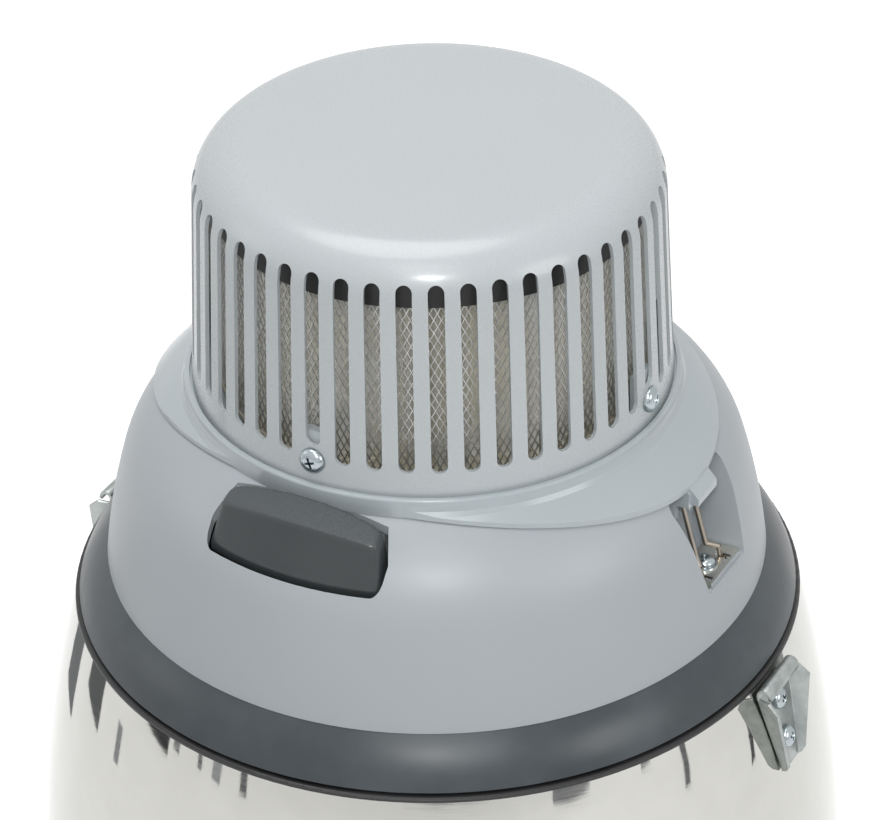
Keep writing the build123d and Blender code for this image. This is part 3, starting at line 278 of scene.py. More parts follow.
# %% Grey cards
CARD_TINT = (0.96, 1.0, 1.05)
CARDS = (
    # turn in degrees, distance, width, height above the floor, grey level
    (172, 0.55, 0.090, 0.080, 0.24),
    (-173, 0.70, 0.120, 0.110, 0.17),
    (-158, 0.75, 0.030, 0.050, 0.40),
    (-149, 1.10, 0.330, 0.060, 0.06),
    (-138, 1.20, 0.050, 0.300, 0.32),
    (-130, 1.28, 0.030, 0.420, 0.22),
    (-124, 1.32, 0.070, 0.420, 0.45),
    (-116, 1.40, 0.050, 0.500, 0.20),
    (-60, 2.20, 0.900, 0.160, 0.35),
    (-26, 1.80, 0.340, 0.700, 0.30),
    (-4, 1.50, 0.080, 0.300, 0.40),
    (7, 1.05, 0.035, 0.160, 0.22),
    (30, 0.78, 0.030, 0.120, 0.12),
    (50, 0.66, 0.050, 0.080, 0.40),
)
for i, (turn_deg, distance, width, height, level) in enumerate(CARDS, 1):
    a = math.radians(turn_deg)
    spot = (distance * math.cos(a), distance * math.sin(a), height / 2)
    upright = (math.pi / 2, 0, a + math.pi / 2)
    bpy.ops.mesh.primitive_plane_add(size=1, location=spot, rotation=upright)
    card = bpy.context.object
    card.name = f"grey_card_{i}"
    card.scale = (width, height, 1)
    card_grey = finish(f"card_grey_{i}")
    colour = tuple(level * tint for tint in CARD_TINT)
    shine = card_grey.node("ShaderNodeEmission", values={"Color": colour})
    card.data.materials.append(card_grey.end(shine))
    card.visible_camera = card.visible_diffuse = False
    card.visible_shadow = card.visible_transmission = False
print("cards:", len(CARDS))

# %% [markdown]
# ## Finishes
# Three kinds of surface cover the machine: moulded plastic or paint, metal, and
# soft stuff such as rubber, foam and paper. Painted pictures could be wrapped
# round the parts, but patterns worked out from a point's own place need no
# wrapping and stay sharp close up. Each kind is written once, and every part
# gets its own colour, dullness and grain from it.

# %% Three kinds of surface
# Noise scales count how many waves fit in a metre; grains are in metres.
MOTTLE_SCALE, MOTTLE_DARK = 14.0, 0.985
CLOUD_SCALE = 60.0
BLOOM_SCALE, BLOOM_PALER, BLOOM_LIFT = 30.0, 1.25, 0.012
COAT_ROUGH = 0.12
PLASTIC_SWING, SOFT_SWING = 0.10, 0.15


def moulded(name, colour, rough, grain, depth, coat=0.0):
    """Injection-moulded plastic: a fine spark-eroded grain over a slow mottle."""
    f = finish(name)
    fine = f.noise(1 / grain, 3.0, 0.6)
    slow = f.noise(MOTTLE_SCALE, 3.0)
    darker = [c * MOTTLE_DARK for c in colour]
    tint = f.blend(f.step(slow, 0.3, 0.7), darker, colour)
    shader = f.shade(
        Base_Color=tint,
        Roughness=f.step(fine, 0.2, 0.8) * PLASTIC_SWING + (rough - PLASTIC_SWING / 2),
        Normal=f.bump(fine, depth),
        Coat_Weight=coat,
        Coat_Roughness=COAT_ROUGH,
    )
    return f.end(shader)


EVEN_GRAIN = (900.0, 900.0, 900.0)


def metal(name, colour, rough, streak=EVEN_GRAIN, depth=0.00001, spread=0.12, cloudy=0.86):
    """Bare or plated metal with a drawn or rolled grain in one direction."""
    f = finish(name)
    lines = f.noise(1.0, 4.0, 0.6, at=f.stretched(streak))
    cloud = f.noise(CLOUD_SCALE, 3.0)
    darker = [c * cloudy for c in colour]
    shader = f.shade(
        Base_Color=f.blend(f.step(cloud, 0.3, 0.75), darker, colour),
        Metallic=1.0,
        Roughness=f.step(lines, 0.25, 0.75) * spread + rough,
        Normal=f.bump(lines, depth),
    )
    return f.end(shader)


def soft(name, colour, rough, grain=0.0006, depth=0.00004):
    """Rubber, foam or felt: dull, with a soft bloom of dust on it."""
    f = finish(name)
    fine = f.noise(1 / grain, 4.0, 0.65)
    bloom = f.noise(BLOOM_SCALE, 4.0, 0.6)
    paler = [min(1.0, c * BLOOM_PALER + BLOOM_LIFT) for c in colour]
    shader = f.shade(
        Base_Color=f.blend(f.step(bloom, 0.35, 0.8), colour, paler),
        Roughness=f.step(bloom, 0.2, 0.8) * SOFT_SWING + (rough - 0.08),
        Normal=f.bump(fine, depth),
    )
    return f.end(shader)


# %% [markdown]
# The cage, the collar and the housing are three different greys. The collar is
# the glossiest, the housing has a fine moulded grain, and the cage is painted.
# The barrel is polished so far that it is nearly a mirror, so its look comes
# from the room and not from its own colour.

# %% A finish for every material
BLACK = (0.012, 0.012, 0.013)
CAGE_GREY = (0.56, 0.60, 0.615)
HOUSING_GREY = (0.47, 0.505, 0.53)
COLLAR_GREY = (0.50, 0.555, 0.575)
PEDAL_GREY = (0.050, 0.058, 0.061)
ALUMINIUM = (0.535, 0.53, 0.50)
ZINC_GREY = (0.42, 0.47, 0.49)
COPPER = (0.66, 0.28, 0.12)
PAPER_CREAM = (0.95, 0.925, 0.84)

# After its name and colour, each finish gets its roughness. Then a moulded one
# gets its grain's size and depth and its clear coat; a metal one its grain's
# scale along X, Y and Z, its depth, how far the roughness spreads, and how dark
# its clouds are; and a soft one its grain's size and depth.
finishes = {
    "cage_paint": moulded("cage_powder_coat", CAGE_GREY, 0.28, 0.0004, 0.000001, 0.25),
    "collar_plastic": moulded("collar_gloss", COLLAR_GREY, 0.22, 0.002, 0.000004, 0.3),
    "housing_plastic": moulded("housing_grain", HOUSING_GREY, 0.37, 0.0005, 0.00003),
    "dark_plastic": moulded("dark_moulding", PEDAL_GREY, 0.45, 0.0006, 0.00004),
    "black_plastic": moulded("black_moulding", BLACK, 0.5, 0.0008, 0.00002),
    "cream_plastic": moulded("cream_moulding", (0.62, 0.58, 0.47), 0.5, 0.001, 0.00002),
    "polished_aluminium": metal(
        "polished_barrel", ALUMINIUM, 0.02, (40.0, 40.0, 900.0), 0.000002, 0.05, 0.96
    ),
    "zinc": metal("zinc_plate", ZINC_GREY, 0.16, (500.0, 500.0, 80.0), 0.00001, 0.08),
    "nickel": metal("nickel_plate", (0.80, 0.77, 0.70), 0.16, (500.0, 90.0, 500.0)),
    "steel": metal("bright_steel", (0.56, 0.56, 0.57), 0.24, (200.0, 200.0, 900.0)),
    "expanded_metal": metal("mesh_wire", (0.62, 0.62, 0.60), 0.4),
    "spring_wire": metal("spring_wire", (0.37, 0.33, 0.28), 0.25, (60.0, 60.0, 60.0)),
    "copper_winding": metal("copper_winding", COPPER, 0.35, (900.0, 900.0, 60.0)),
    "band_rubber": soft("band_rubber", (0.046, 0.057, 0.065), 0.34, 0.0006, 0.00001),
    "black_rubber": soft("black_rubber", BLACK, 0.5),
    "bumper_rubber": soft("bumper_rubber", (0.085, 0.095, 0.10), 0.62),
    "wheel_rubber": soft("wheel_rubber", (0.10, 0.105, 0.11), 0.5),
    "foam": soft("foam", (0.05, 0.05, 0.052), 0.95, 0.0015, 0.0003),
    "filter_paper": soft("filter_paper", PAPER_CREAM, 0.9, 0.0012, 0.00012),
    "filter_cloth": soft("filter_cloth", (0.70, 0.70, 0.67), 0.95, 0.001, 0.0002),
}

slot_of = {entry["node"]: entry["material_slot"] for entry in frame["record"]["subparts"]}
for name, solid in nodes.items():
    solid.data.materials.clear()
    solid.data.materials.append(finishes[slot_of[name]])
print("finishes:", len(finishes))

# %% [markdown]
# ## Small helpers for modelling
# Every piece is made with the same few moves: start from nothing selected, add
# a primitive at its real size, shape it in edit mode, and at the end apply its
# place so that the object itself sits at the origin like the solids do.

# %% Helpers for modelling
def start():
    """Nothing selected, object mode."""
    if bpy.context.object and bpy.context.object.mode != "OBJECT":
        bpy.ops.object.mode_set(mode="OBJECT")
    bpy.ops.object.select_all(action="DESELECT")


def edit(mode="VERT", everything=True):
    """Edit mode, picking points, edges or faces, with all of them picked or none."""
    bpy.ops.object.mode_set(mode="EDIT")
    bpy.ops.mesh.select_mode(type=mode)
    bpy.ops.mesh.select_all(action="SELECT" if everything else "DESELECT")


def pick(piece, kind, test):
    """Selects the vertices, edges or faces of a mesh that pass a test."""
    bpy.ops.object.mode_set(mode="OBJECT")
    mesh = piece.data
    for group in (mesh.vertices, mesh.edges, mesh.polygons):
        group.foreach_set("select", [False] * len(group))
    chosen = [item for item in getattr(mesh, kind) if test(item)]
    for item in chosen:
        item.select = True
    bpy.ops.object.mode_set(mode="EDIT")
    return len(chosen)


def rise(step, scale=1.0):
    """Extrudes the open rim upwards and draws it in or out about its middle."""
    bpy.ops.mesh.extrude_region_move(TRANSFORM_OT_translate={"value": (0, 0, step)})
    if scale != 1.0:
        bpy.ops.transform.resize(value=(scale, scale, 1))


def copy_of(pattern):
    """A second object of the same shape, to be placed on its own."""
    start()
    pattern.select_set(True)
    bpy.context.view_layer.objects.active = pattern
    bpy.ops.object.duplicate()
    return bpy.context.object


def settle(piece, name, slot, body, look=None):
    """Applies the piece's place and gives it its name, finish and body."""
    start()
    piece.select_set(True)
    bpy.context.view_layer.objects.active = piece
    bpy.ops.object.transform_apply(location=True, rotation=True, scale=True)
    piece.name = piece.data.name = name
    piece.data.materials.clear()
    piece.data.materials.append(finishes[look or slot])
    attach(piece, body)
    return piece


# %% [markdown]
# ## The wire sleeve round the exhaust filter
# Expanded metal is a sheet that is slit and pulled open into diamonds. Poking
# the faces of a tube gives each one a middle point; when the upright and level
# edges are then dissolved, only the slanting ones are left, and those are the
# diamonds. An inset turns their borders into flat strands.

# %% Wire sleeve
SLEEVE_CELLS = 184
SLEEVE_ROWS = 13
STRAND_HALF = 0.00016
STRAND_THICK = 0.0004
SAME_SPOT, OFF_THE_RIM = 1e-6, 1e-4

sleeve_low, sleeve_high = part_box("filter_mesh")
sleeve_h = sleeve_high[2] - sleeve_low[2]
row_h = sleeve_h / SLEEVE_ROWS
start()
bpy.ops.mesh.primitive_circle_add(
    vertices=SLEEVE_CELLS, radius=sleeve_high[0], location=(0, 0, sleeve_low[2])
)
sleeve = bpy.context.object
edit()
for row in range(SLEEVE_ROWS):
    bpy.ops.mesh.extrude_region_move(TRANSFORM_OT_translate={"value": (0, 0, row_h)})
bpy.ops.mesh.select_all(action="SELECT")
bpy.ops.mesh.poke()


def is_inner_side(edge):
    """An upright edge, or a level one that isn't on the sleeve's rims."""
    a, b = (sleeve.data.vertices[i].co for i in edge.vertices)
    if (a - b).xy.length < SAME_SPOT:
        return True
    level = abs(a.z - b.z) < SAME_SPOT
    return level and OFF_THE_RIM < a.z < sleeve_h - OFF_THE_RIM


bpy.ops.mesh.select_mode(type="EDGE")
print("edges dissolved:", pick(sleeve, "edges", is_inner_side))
bpy.ops.mesh.dissolve_edges(use_verts=False)
edit("FACE")
bpy.ops.mesh.inset(thickness=STRAND_HALF, use_individual=True)
bpy.ops.mesh.delete(type="FACE")
bpy.ops.object.mode_set(mode="OBJECT")
wall = sleeve.modifiers.new("strand_thickness", "SOLIDIFY")
wall.thickness = STRAND_THICK
bpy.ops.object.modifier_apply(modifier=wall.name)
settle(sleeve, "wire_sleeve", "expanded_metal", "head")
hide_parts("filter_mesh")
print("sleeve faces:", len(sleeve.data.polygons))

# %% [markdown]
# ## Screws with a cross recess
# A pan head is a low dome with a driver recess. The shank, the flat underside
# and the dome are drawn up from one ring of points. The recess could be drawn
# into the dome face by face, but its corners cross the dome's rings, so it is
# cut with a cross of two tapered blades by a boolean, which sorts that out.

# %% The cross that cuts the recess
HEAD_SIDES = 40
# Each step of the dome: its rise as a share of the head's height, and how much
# of the ring's width is left after it.
DOME = ((0.24, 0.99), (0.24, 0.95), (0.22, 0.88), (0.17, 0.78), (0.10, 0.60), (0.03, 0.35))
WASHER_EDGE = 0.98
# The blade's length and width by the head's radius, its depth and place by the
# head's height, and how much narrower it is at the bottom.
BLADE_LONG, BLADE_WIDE, BLADE_DEEP, BLADE_UP = 1.15, 0.26, 1.1, 0.95
BLADE_TAPER = 0.45
DOME_SMOOTH = math.radians(32)


def cross_blade(head_r, head_t, foot=0.0):
    """Two tapered blades, crossed, to cut the driver recess."""
    blades = []
    for quarter in (0, 1):
        start()
        bpy.ops.mesh.primitive_cube_add(size=1, location=(0, 0, foot + head_t * BLADE_UP))
        blade = bpy.context.object
        size = (head_r * BLADE_LONG, head_r * BLADE_WIDE, head_t * BLADE_DEEP)
        bpy.ops.transform.resize(value=size)
        blade.rotation_euler.z = quarter * math.pi / 2
        bpy.ops.object.transform_apply(location=True, rotation=True, scale=True)
        edit("FACE", False)
        pick(blade, "polygons", lambda face: face.normal.z < -0.9)
        bpy.ops.transform.resize(value=(BLADE_TAPER, BLADE_TAPER, 1))
        bpy.ops.object.mode_set(mode="OBJECT")
        blades.append(blade)
    return blades


# %% The screw itself
def make_screw(head_r, head_t, shank_r, length, washer_r=0.0, washer_t=0.0008):
    """A pan-head screw along +Z, its underside at Z = 0, with a washer if it has one."""
    start()
    bpy.ops.mesh.primitive_circle_add(
        vertices=HEAD_SIDES, radius=shank_r, location=(0, 0, -length), fill_type="NGON"
    )
    screw = bpy.context.object
    edit()
    bpy.ops.mesh.extrude_region_move(TRANSFORM_OT_translate={"value": (0, 0, length)})
    if washer_r:
        rise(0, washer_r / shank_r)
        rise(washer_t, WASHER_EDGE)
        rise(0, head_r / washer_r / WASHER_EDGE)
    else:
        rise(0, head_r / shank_r)
    for step, scale in DOME:
        rise(head_t * step, scale)
    bpy.ops.mesh.edge_face_add()
    bpy.ops.mesh.select_all(action="SELECT")
    bpy.ops.mesh.normals_make_consistent(inside=False)
    bpy.ops.object.mode_set(mode="OBJECT")
    bpy.ops.object.transform_apply(location=True, rotation=True, scale=True)
    for blade in cross_blade(head_r, head_t, washer_t if washer_r else 0.0):
        cut = screw.modifiers.new("recess", "BOOLEAN")
        cut.object = blade
        cut.solver = "EXACT"
        bpy.context.view_layer.objects.active = screw
        bpy.ops.object.modifier_apply(modifier=cut.name)
        bpy.data.objects.remove(blade)
    start()
    screw.select_set(True)
    bpy.context.view_layer.objects.active = screw
    bpy.ops.object.shade_smooth_by_angle(angle=DOME_SMOOTH)
    return screw


# %% Drive a screw home
def drive(pattern, name, spot, way, twist, body, slot="zinc"):
    """A copy of a screw, its underside at a point and its head facing a way."""
    screw = copy_of(pattern)
    face = Vector(way).normalized().to_track_quat("Z", "Y").to_matrix()
    turned = (face @ Matrix.Rotation(twist, 3, "Z")).to_4x4()
    screw.matrix_world = Matrix.Translation(spot) @ turned
    return settle(screw, name, slot, body)


# %% [markdown]
# ## The cage screws
# Four screws hold the cage to the tabs that stand up from the collar. They are
# one pattern, copied four times and turned by different amounts, as screws stop
# where they happen to be tight. The cage tapers, so they lean with its wall.

# %% Cage screws, one on each side
CAGE_BASE_R = 0.090
CAGE_TOP_R = 0.0864
CAGE_WALL_H = 0.0771
CAGE_SCREW_UP = 0.010
lean = (CAGE_BASE_R - CAGE_TOP_R) / CAGE_WALL_H
screw_r = CAGE_BASE_R - lean * CAGE_SCREW_UP
TWISTS = (0.35, 1.0, 0.2, 0.7)

cage_screw = make_screw(head_r=0.005, head_t=0.003, shank_r=0.002, length=0.007)
for i, side in enumerate(("front", "right", "rear", "left")):
    a = math.radians(-90 + 90 * i)
    spot = Vector((screw_r * math.cos(a), screw_r * math.sin(a), SEAT_Z + CAGE_SCREW_UP))
    way = (math.cos(a), math.sin(a), lean)
    drive(cage_screw, f"cage_screw_{side}", spot, way, TWISTS[i], "head")
bpy.data.objects.remove(cage_screw)
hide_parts("cage_screws")

# %% [markdown]
# ## Galvanised sheet
# The catches are cut from zinc-coated steel. The zinc freezes into crystals,
# which show as patches of slightly different greys with straight sides. A
# Voronoi texture cuts space up in the same way, so it is used for the patches,
# and a slow noise under it stands for the weathering.

# %% Galvanised sheet
PATCH_SCALE, SHEET_CLOUD_SCALE = 420.0, 90.0
SHEET_DARK, SHEET_MID, SHEET_PALE = (0.27, 0.295, 0.29), (0.42, 0.45, 0.44), (0.52, 0.55, 0.54)
PATCH_PALER, PATCH_ROUGHER = 0.45, 0.18


def galvanised(name):
    """Zinc crystals: angular patches, each a slightly different grey."""
    f = finish(name)
    spread = {"Vector": f.place(), "Scale": PATCH_SCALE}
    patches = f.node("ShaderNodeTexVoronoi", values=spread, out="Color")
    cloud = f.noise(SHEET_CLOUD_SCALE, 4.0, 0.6)
    tone = f.blend(f.step(cloud, 0.3, 0.7), SHEET_DARK, SHEET_MID)
    grey = f.node("ShaderNodeRGBToBW", values={0: patches})
    shader = f.shade(
        Base_Color=f.blend(grey * PATCH_PALER, tone, SHEET_PALE),
        Metallic=0.85,
        Roughness=grey * PATCH_ROUGHER + 0.30,
        Normal=f.bump(cloud, 0.0001, 0.4),
    )
    return f.end(shader)


finishes["galvanised"] = galvanised("galvanised_sheet")
print("finishes, with the galvanised sheet:", len(finishes))

# %% [markdown]
# ## The catches
# A catch is one piece of galvanised sheet: a back plate screwed to the barrel,
# two wings folded out to the sides so that nothing slips past, and a top edge
# rolled over into the lip that a latch hooks on. It is folded here in the same
# order, edge by edge from a flat plate, and gets its thickness last. Cutting it
# from a block would give wrong corners, because a fold keeps the sheet's
# thickness all the way round.

# %% The catch's measures and its place
CATCH_R, CATCH_UP, CATCH_TILT = 0.14479, 0.282, math.radians(13.92)
CATCH_T = 0.0015


def catch_place(side):
    """The catch's own axes: X along the barrel, Y up it, Z straight out."""
    out = Vector((math.cos(CATCH_TILT), 0, math.sin(CATCH_TILT)))
    up = Vector((-math.sin(CATCH_TILT), 0, math.cos(CATCH_TILT)))
    axes = Matrix((up.cross(out), up, out)).transposed().to_4x4()
    return Matrix.Rotation(side, 4, "Z") @ Matrix.Translation((CATCH_R, 0, CATCH_UP)) @ axes


# %% The flat plate
PLATE_TOP, PLATE_FOOT = 0.0150, -0.0210
PLATE_MIDDLE = (PLATE_TOP + PLATE_FOOT) / 2
TOP_HALF, FOOT_HALF = 0.0125, 0.0065


def flat_plate():
    """A plate that lies flat and is narrower at its foot."""
    start()
    bpy.ops.mesh.primitive_plane_add(size=1, location=(0, PLATE_MIDDLE, 0))
    sheet = bpy.context.object
    sheet.scale = (2 * TOP_HALF, PLATE_TOP - PLATE_FOOT, 1)
    bpy.ops.object.transform_apply(location=True, rotation=True, scale=True)
    edit("VERT", False)
    pick(sheet, "vertices", lambda v: v.co.y < PLATE_MIDDLE)
    bpy.ops.transform.resize(value=(FOOT_HALF / TOP_HALF, 1, 1), center_override=(0, PLATE_FOOT, 0))
    return sheet


def pick_edge(sheet, test):
    """Selects the edges on the flat plate whose two ends both pass a test."""

    def passes(i):
        co = sheet.data.vertices[i].co
        return test(co) and abs(co.z) < SAME_SPOT

    bpy.ops.mesh.select_mode(type="EDGE")
    return pick(sheet, "edges", lambda edge: all(passes(i) for i in edge.vertices))


def pull(x, y, z):
    """Extrudes what is picked by one straight step."""
    bpy.ops.mesh.extrude_region_move(TRANSFORM_OT_translate={"value": (x, y, z)})


# %% Fold a wing out of the plate's side
WING_DEEP, WING_SPLAY = 0.0098, math.radians(22)
WING_FOOT_DEEP = 0.0040
WING_FOOT_UP, WING_TOP_DOWN = 0.0012, 0.0010
WING_FOOT_CORNER, WING_TOP_CORNER = 0.0015, 0.0040
WING_RAISED = 0.001


def fold_wing(sheet, side):
    """Pulls a side edge out, then makes it shallow at the foot and rounds it."""
    pick_edge(sheet, lambda co: side * co.x > FOOT_HALF * 0.9)
    pull(side * WING_DEEP * math.sin(WING_SPLAY), 0, WING_DEEP * math.cos(WING_SPLAY))
    bpy.ops.mesh.select_mode(type="VERT")

    def on_wing(v):
        return side * v.co.x > 0 and v.co.z > WING_RAISED

    pick(sheet, "vertices", lambda v: on_wing(v) and v.co.y < PLATE_MIDDLE)
    back = WING_FOOT_DEEP - WING_DEEP
    bpy.ops.transform.translate(value=(
        side * back * math.sin(WING_SPLAY), WING_FOOT_UP, back * math.cos(WING_SPLAY)
    ))
    bpy.ops.mesh.bevel(offset=WING_FOOT_CORNER, affect="VERTICES")
    pick(sheet, "vertices", lambda v: on_wing(v) and v.co.y > PLATE_MIDDLE)
    bpy.ops.transform.translate(value=(0, -WING_TOP_DOWN, 0))
    bpy.ops.mesh.bevel(offset=WING_TOP_CORNER, affect="VERTICES")


# %% Roll the top edge into a lip
LIP_START = PLATE_TOP - 0.00001
LIP_LEAD, LIP_TAIL = 0.0012, 0.0016
ROLL_R, ROLL_STEPS = 0.0031, 7


def roll_lip(sheet):
    """Turns the top edge over by half a turn, in short straight steps."""
    pick_edge(sheet, lambda co: co.y > LIP_START)
    pull(0, LIP_LEAD, 0)
    bend = math.pi / ROLL_STEPS
    reach = 2 * ROLL_R * math.sin(bend / 2)
    for step in range(ROLL_STEPS):
        a = bend * (step + 0.5)
        pull(0, reach * math.cos(a), reach * math.sin(a))
    pull(0, -LIP_TAIL, 0)


# %% Fold the catch and give it its thickness
SHEET_EDGE = 0.00022
FOLD_SHARP, FOLD_SMOOTH = math.radians(50), math.radians(40)

catch_pattern = flat_plate()
for side in (-1, 1):
    fold_wing(catch_pattern, side)
roll_lip(catch_pattern)
bpy.ops.object.mode_set(mode="OBJECT")
wall = catch_pattern.modifiers.new("sheet_thickness", "SOLIDIFY")
wall.thickness, wall.offset = CATCH_T, 1
edge = catch_pattern.modifiers.new("soft_edge", "BEVEL")
edge.width, edge.segments, edge.limit_method = SHEET_EDGE, 2, "ANGLE"
edge.angle_limit = FOLD_SHARP
for modifier in (wall, edge):
    bpy.ops.object.modifier_apply(modifier=modifier.name)
bpy.ops.object.shade_smooth_by_angle(angle=FOLD_SMOOTH)
print("catch, mm:", [round(1000 * side, 1) for side in catch_pattern.dimensions])

# %% [markdown]
# The two catches sit opposite each other on the barrel's slope, each held by
# two screws, one above the other.

# %% Catches and their screws
# How far each screw sits above the catch's middle, and how far it is turned.
CATCH_SCREW_ROWS = ((0.008, 0.4), (-0.009, 1.3))
catch_screw = make_screw(head_r=0.0043, head_t=0.0028, shank_r=0.0016, length=0.006)
for name, side in (("right", 0.0), ("left", math.pi)):
    place = catch_place(side)
    catch = copy_of(catch_pattern)
    catch.matrix_world = place
    settle(catch, f"catch_{name}", slot_of[f"catch_bracket_{name}"], "container", "galvanised")
    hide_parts(f"catch_bracket_{name}")
    way = place.to_3x3() @ Vector((0, 0, 1))
    for i, (row, twist) in enumerate(CATCH_SCREW_ROWS, 1):
        spot = place @ Vector((0, row, CATCH_T))
        label = f"catch_screw_{name}_{i}"
        drive(catch_screw, label, spot, way, twist, "container")
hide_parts("catch_screws")
bpy.data.objects.remove(catch_pattern)
bpy.data.objects.remove(catch_screw)

# %% [markdown]
# ## The clip screws
# At the bottom of each recess in the housing, a nickel plate holds the wire
# bail, and one screw with a washer holds the plate. The washer is drawn up with
# the screw, as one more step in its outline.

# %% Clip screws, with washers
CLIP_SCREW_X = 0.113
CLIP_FLOOR_DROP, CLIP_PLATE_T = 0.0573, 0.0012
CLIP_PLATE_TOP = SEAT_Z - CLIP_FLOOR_DROP + CLIP_PLATE_T
clip_screw = make_screw(
    head_r=0.0040, head_t=0.0024, shank_r=0.0018, length=0.004, washer_r=0.0049
)
clip_heads = [
    drive(clip_screw, f"clip_screw_{name}", (x, 0, CLIP_PLATE_TOP), (0, 0, 1), twist, "head")
    for name, x, twist in (("right", CLIP_SCREW_X, 0.5), ("left", -CLIP_SCREW_X, 1.1))
]
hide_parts("clip_screws")
bpy.data.objects.remove(clip_screw)
print("clip screws:", len(clip_heads))

# %% [markdown]
# ## The foot pedal
# The pedal is a moulded cap. It is sawn from a block with many flat cuts: its
# front follows the round of the housing, its top is crowned and slopes back up
# to the collar, and its ends lean in. A remesh then turns the block into even
# small faces, and smoothing those rounds every edge as a mould would.

# %% The pedal's measures and its block
PEDAL_FOOT_R, PEDAL_RIDGE_R = 0.1116, 0.1062
PEDAL_FOOT_Z, PEDAL_RIDGE_Z = SEAT_Z - 0.026, SEAT_Z - 0.0070
PEDAL_LOW_Z = SEAT_Z - 0.031
PEDAL_BACK_Y = -0.0950
PEDAL_END_X, PEDAL_END_LEAN = 0.0352, math.radians(12)
PEDAL_SLOPE, CROWN_R = math.radians(25), 0.105
BLOCK_FRONT_Y, BLOCK_H, BLOCK_MID_Z = -0.120, 0.035, SEAT_Z - 0.0135
BLOCK_SPARE = 0.004

start()
block_mid = (0, (PEDAL_BACK_Y + BLOCK_FRONT_Y) / 2, BLOCK_MID_Z)
bpy.ops.mesh.primitive_cube_add(size=1, location=block_mid)
pedal = bpy.context.object
pedal.scale = (2 * PEDAL_END_X + BLOCK_SPARE, PEDAL_BACK_Y - BLOCK_FRONT_Y, BLOCK_H)
bpy.ops.object.transform_apply(location=True, rotation=True, scale=True)
print("block, mm:", [round(1000 * side, 1) for side in pedal.dimensions])

# %% Saw the block to the pedal's shape
CUTS_EACH_SIDE, TURN_PER_CUT, STEP_PER_CUT = 6, 3.4, 0.0056
# A point and a direction for each cut that rounds off a corner of the top; the
# point's height is counted from the ridge.
CORNER_CUTS = (
    ((0.0310, -0.0985, 0.0), (0.62, 0.30, 0.72)),
    ((0.0320, -0.1080, -0.003), (0.70, -0.45, 0.45)),
)


def saw(point, away):
    """Cuts the mesh along a plane and closes it; what lies on the away side goes."""
    bpy.ops.mesh.select_all(action="SELECT")
    bpy.ops.mesh.bisect(plane_co=point, plane_no=away, clear_outer=True, use_fill=True)


edit()
front_lean = math.atan2(PEDAL_FOOT_R - PEDAL_RIDGE_R, PEDAL_RIDGE_Z - PEDAL_FOOT_Z)
for step in range(-CUTS_EACH_SIDE, CUTS_EACH_SIDE + 1):
    around = math.radians(TURN_PER_CUT * step)
    out = (math.sin(around), -math.cos(around))
    foot = (PEDAL_FOOT_R * out[0], PEDAL_FOOT_R * out[1], PEDAL_FOOT_Z)
    saw(foot, (*out, 0))
    saw(foot, (*(c * math.cos(front_lean) for c in out), math.sin(front_lean)))
    along = STEP_PER_CUT * step
    crown = (along, -PEDAL_RIDGE_R, PEDAL_RIDGE_Z - along * along / (2 * CROWN_R))
    saw(crown, (along / CROWN_R, -math.sin(PEDAL_SLOPE), math.cos(PEDAL_SLOPE)))
for side in (-1, 1):
    end_out = (side * math.cos(PEDAL_END_LEAN), 0, math.sin(PEDAL_END_LEAN))
    saw((side * PEDAL_END_X, 0, PEDAL_FOOT_Z), end_out)
    for (x, y, z), (out_x, out_y, out_z) in CORNER_CUTS:
        saw((side * x, y, PEDAL_RIDGE_Z + z), (side * out_x, out_y, out_z))
saw((0, 0, PEDAL_LOW_Z), (0, 0, -1))
bpy.ops.object.mode_set(mode="OBJECT")
print("sawn faces:", len(pedal.data.polygons))

# %% Round the pedal's edges
REMESH_SIZE, ROUND_PASSES = 0.0005, 80

even = pedal.modifiers.new("even_faces", "REMESH")
even.mode, even.voxel_size = "VOXEL", REMESH_SIZE
bpy.ops.object.modifier_apply(modifier=even.name)
rounding = pedal.modifiers.new("rounded_edges", "SMOOTH")
rounding.factor, rounding.iterations = 0.5, ROUND_PASSES
bpy.ops.object.modifier_apply(modifier=rounding.name)
bpy.ops.object.shade_smooth()
print("pedal faces:", len(pedal.data.polygons))

# %% [markdown]
# Under the cap, two arms reach back to the pin it rocks on, each with a round
# end about the pin, and a short post reaches down to the switch's plunger.

# %% Arms and pushing post under the pedal
PIN_Y, PIN_Z = -0.084, SEAT_Z - 0.022
ARM_X, ARM_W, ARM_H = 0.022, 0.004, 0.008
ARM_IN_CAP = 0.002
PUSH_Y, PUSH_R, PUSH_H, PUSH_LOW_Z = -0.100, 0.0035, 0.014, SEAT_Z - 0.034
ROUND_SIDES = 32

start()
bpy.ops.mesh.primitive_cylinder_add(
    vertices=ROUND_SIDES, radius=PUSH_R, depth=PUSH_H, location=(0, PUSH_Y, PUSH_LOW_Z + PUSH_H / 2)
)
under = [bpy.context.object]
arm_l = PIN_Y - PEDAL_BACK_Y + ARM_IN_CAP
for side in (-1, 1):
    start()
    arm_mid = (side * ARM_X, PIN_Y - arm_l / 2, PIN_Z)
    bpy.ops.mesh.primitive_cube_add(size=1, location=arm_mid)
    bpy.context.object.scale = (ARM_W, arm_l, ARM_H)
    bpy.ops.object.transform_apply(location=True, rotation=True, scale=True)
    under.append(bpy.context.object)
    start()
    bpy.ops.mesh.primitive_cylinder_add(
        vertices=ROUND_SIDES, radius=ARM_H / 2, depth=ARM_W,
        location=(side * ARM_X, PIN_Y, PIN_Z), rotation=(0, math.pi / 2, 0),
    )
    under.append(bpy.context.object)
start()
for piece in under:
    piece.select_set(True)
pedal.select_set(True)
bpy.context.view_layer.objects.active = pedal
bpy.ops.object.join()
print("pieces joined under the cap:", len(under))

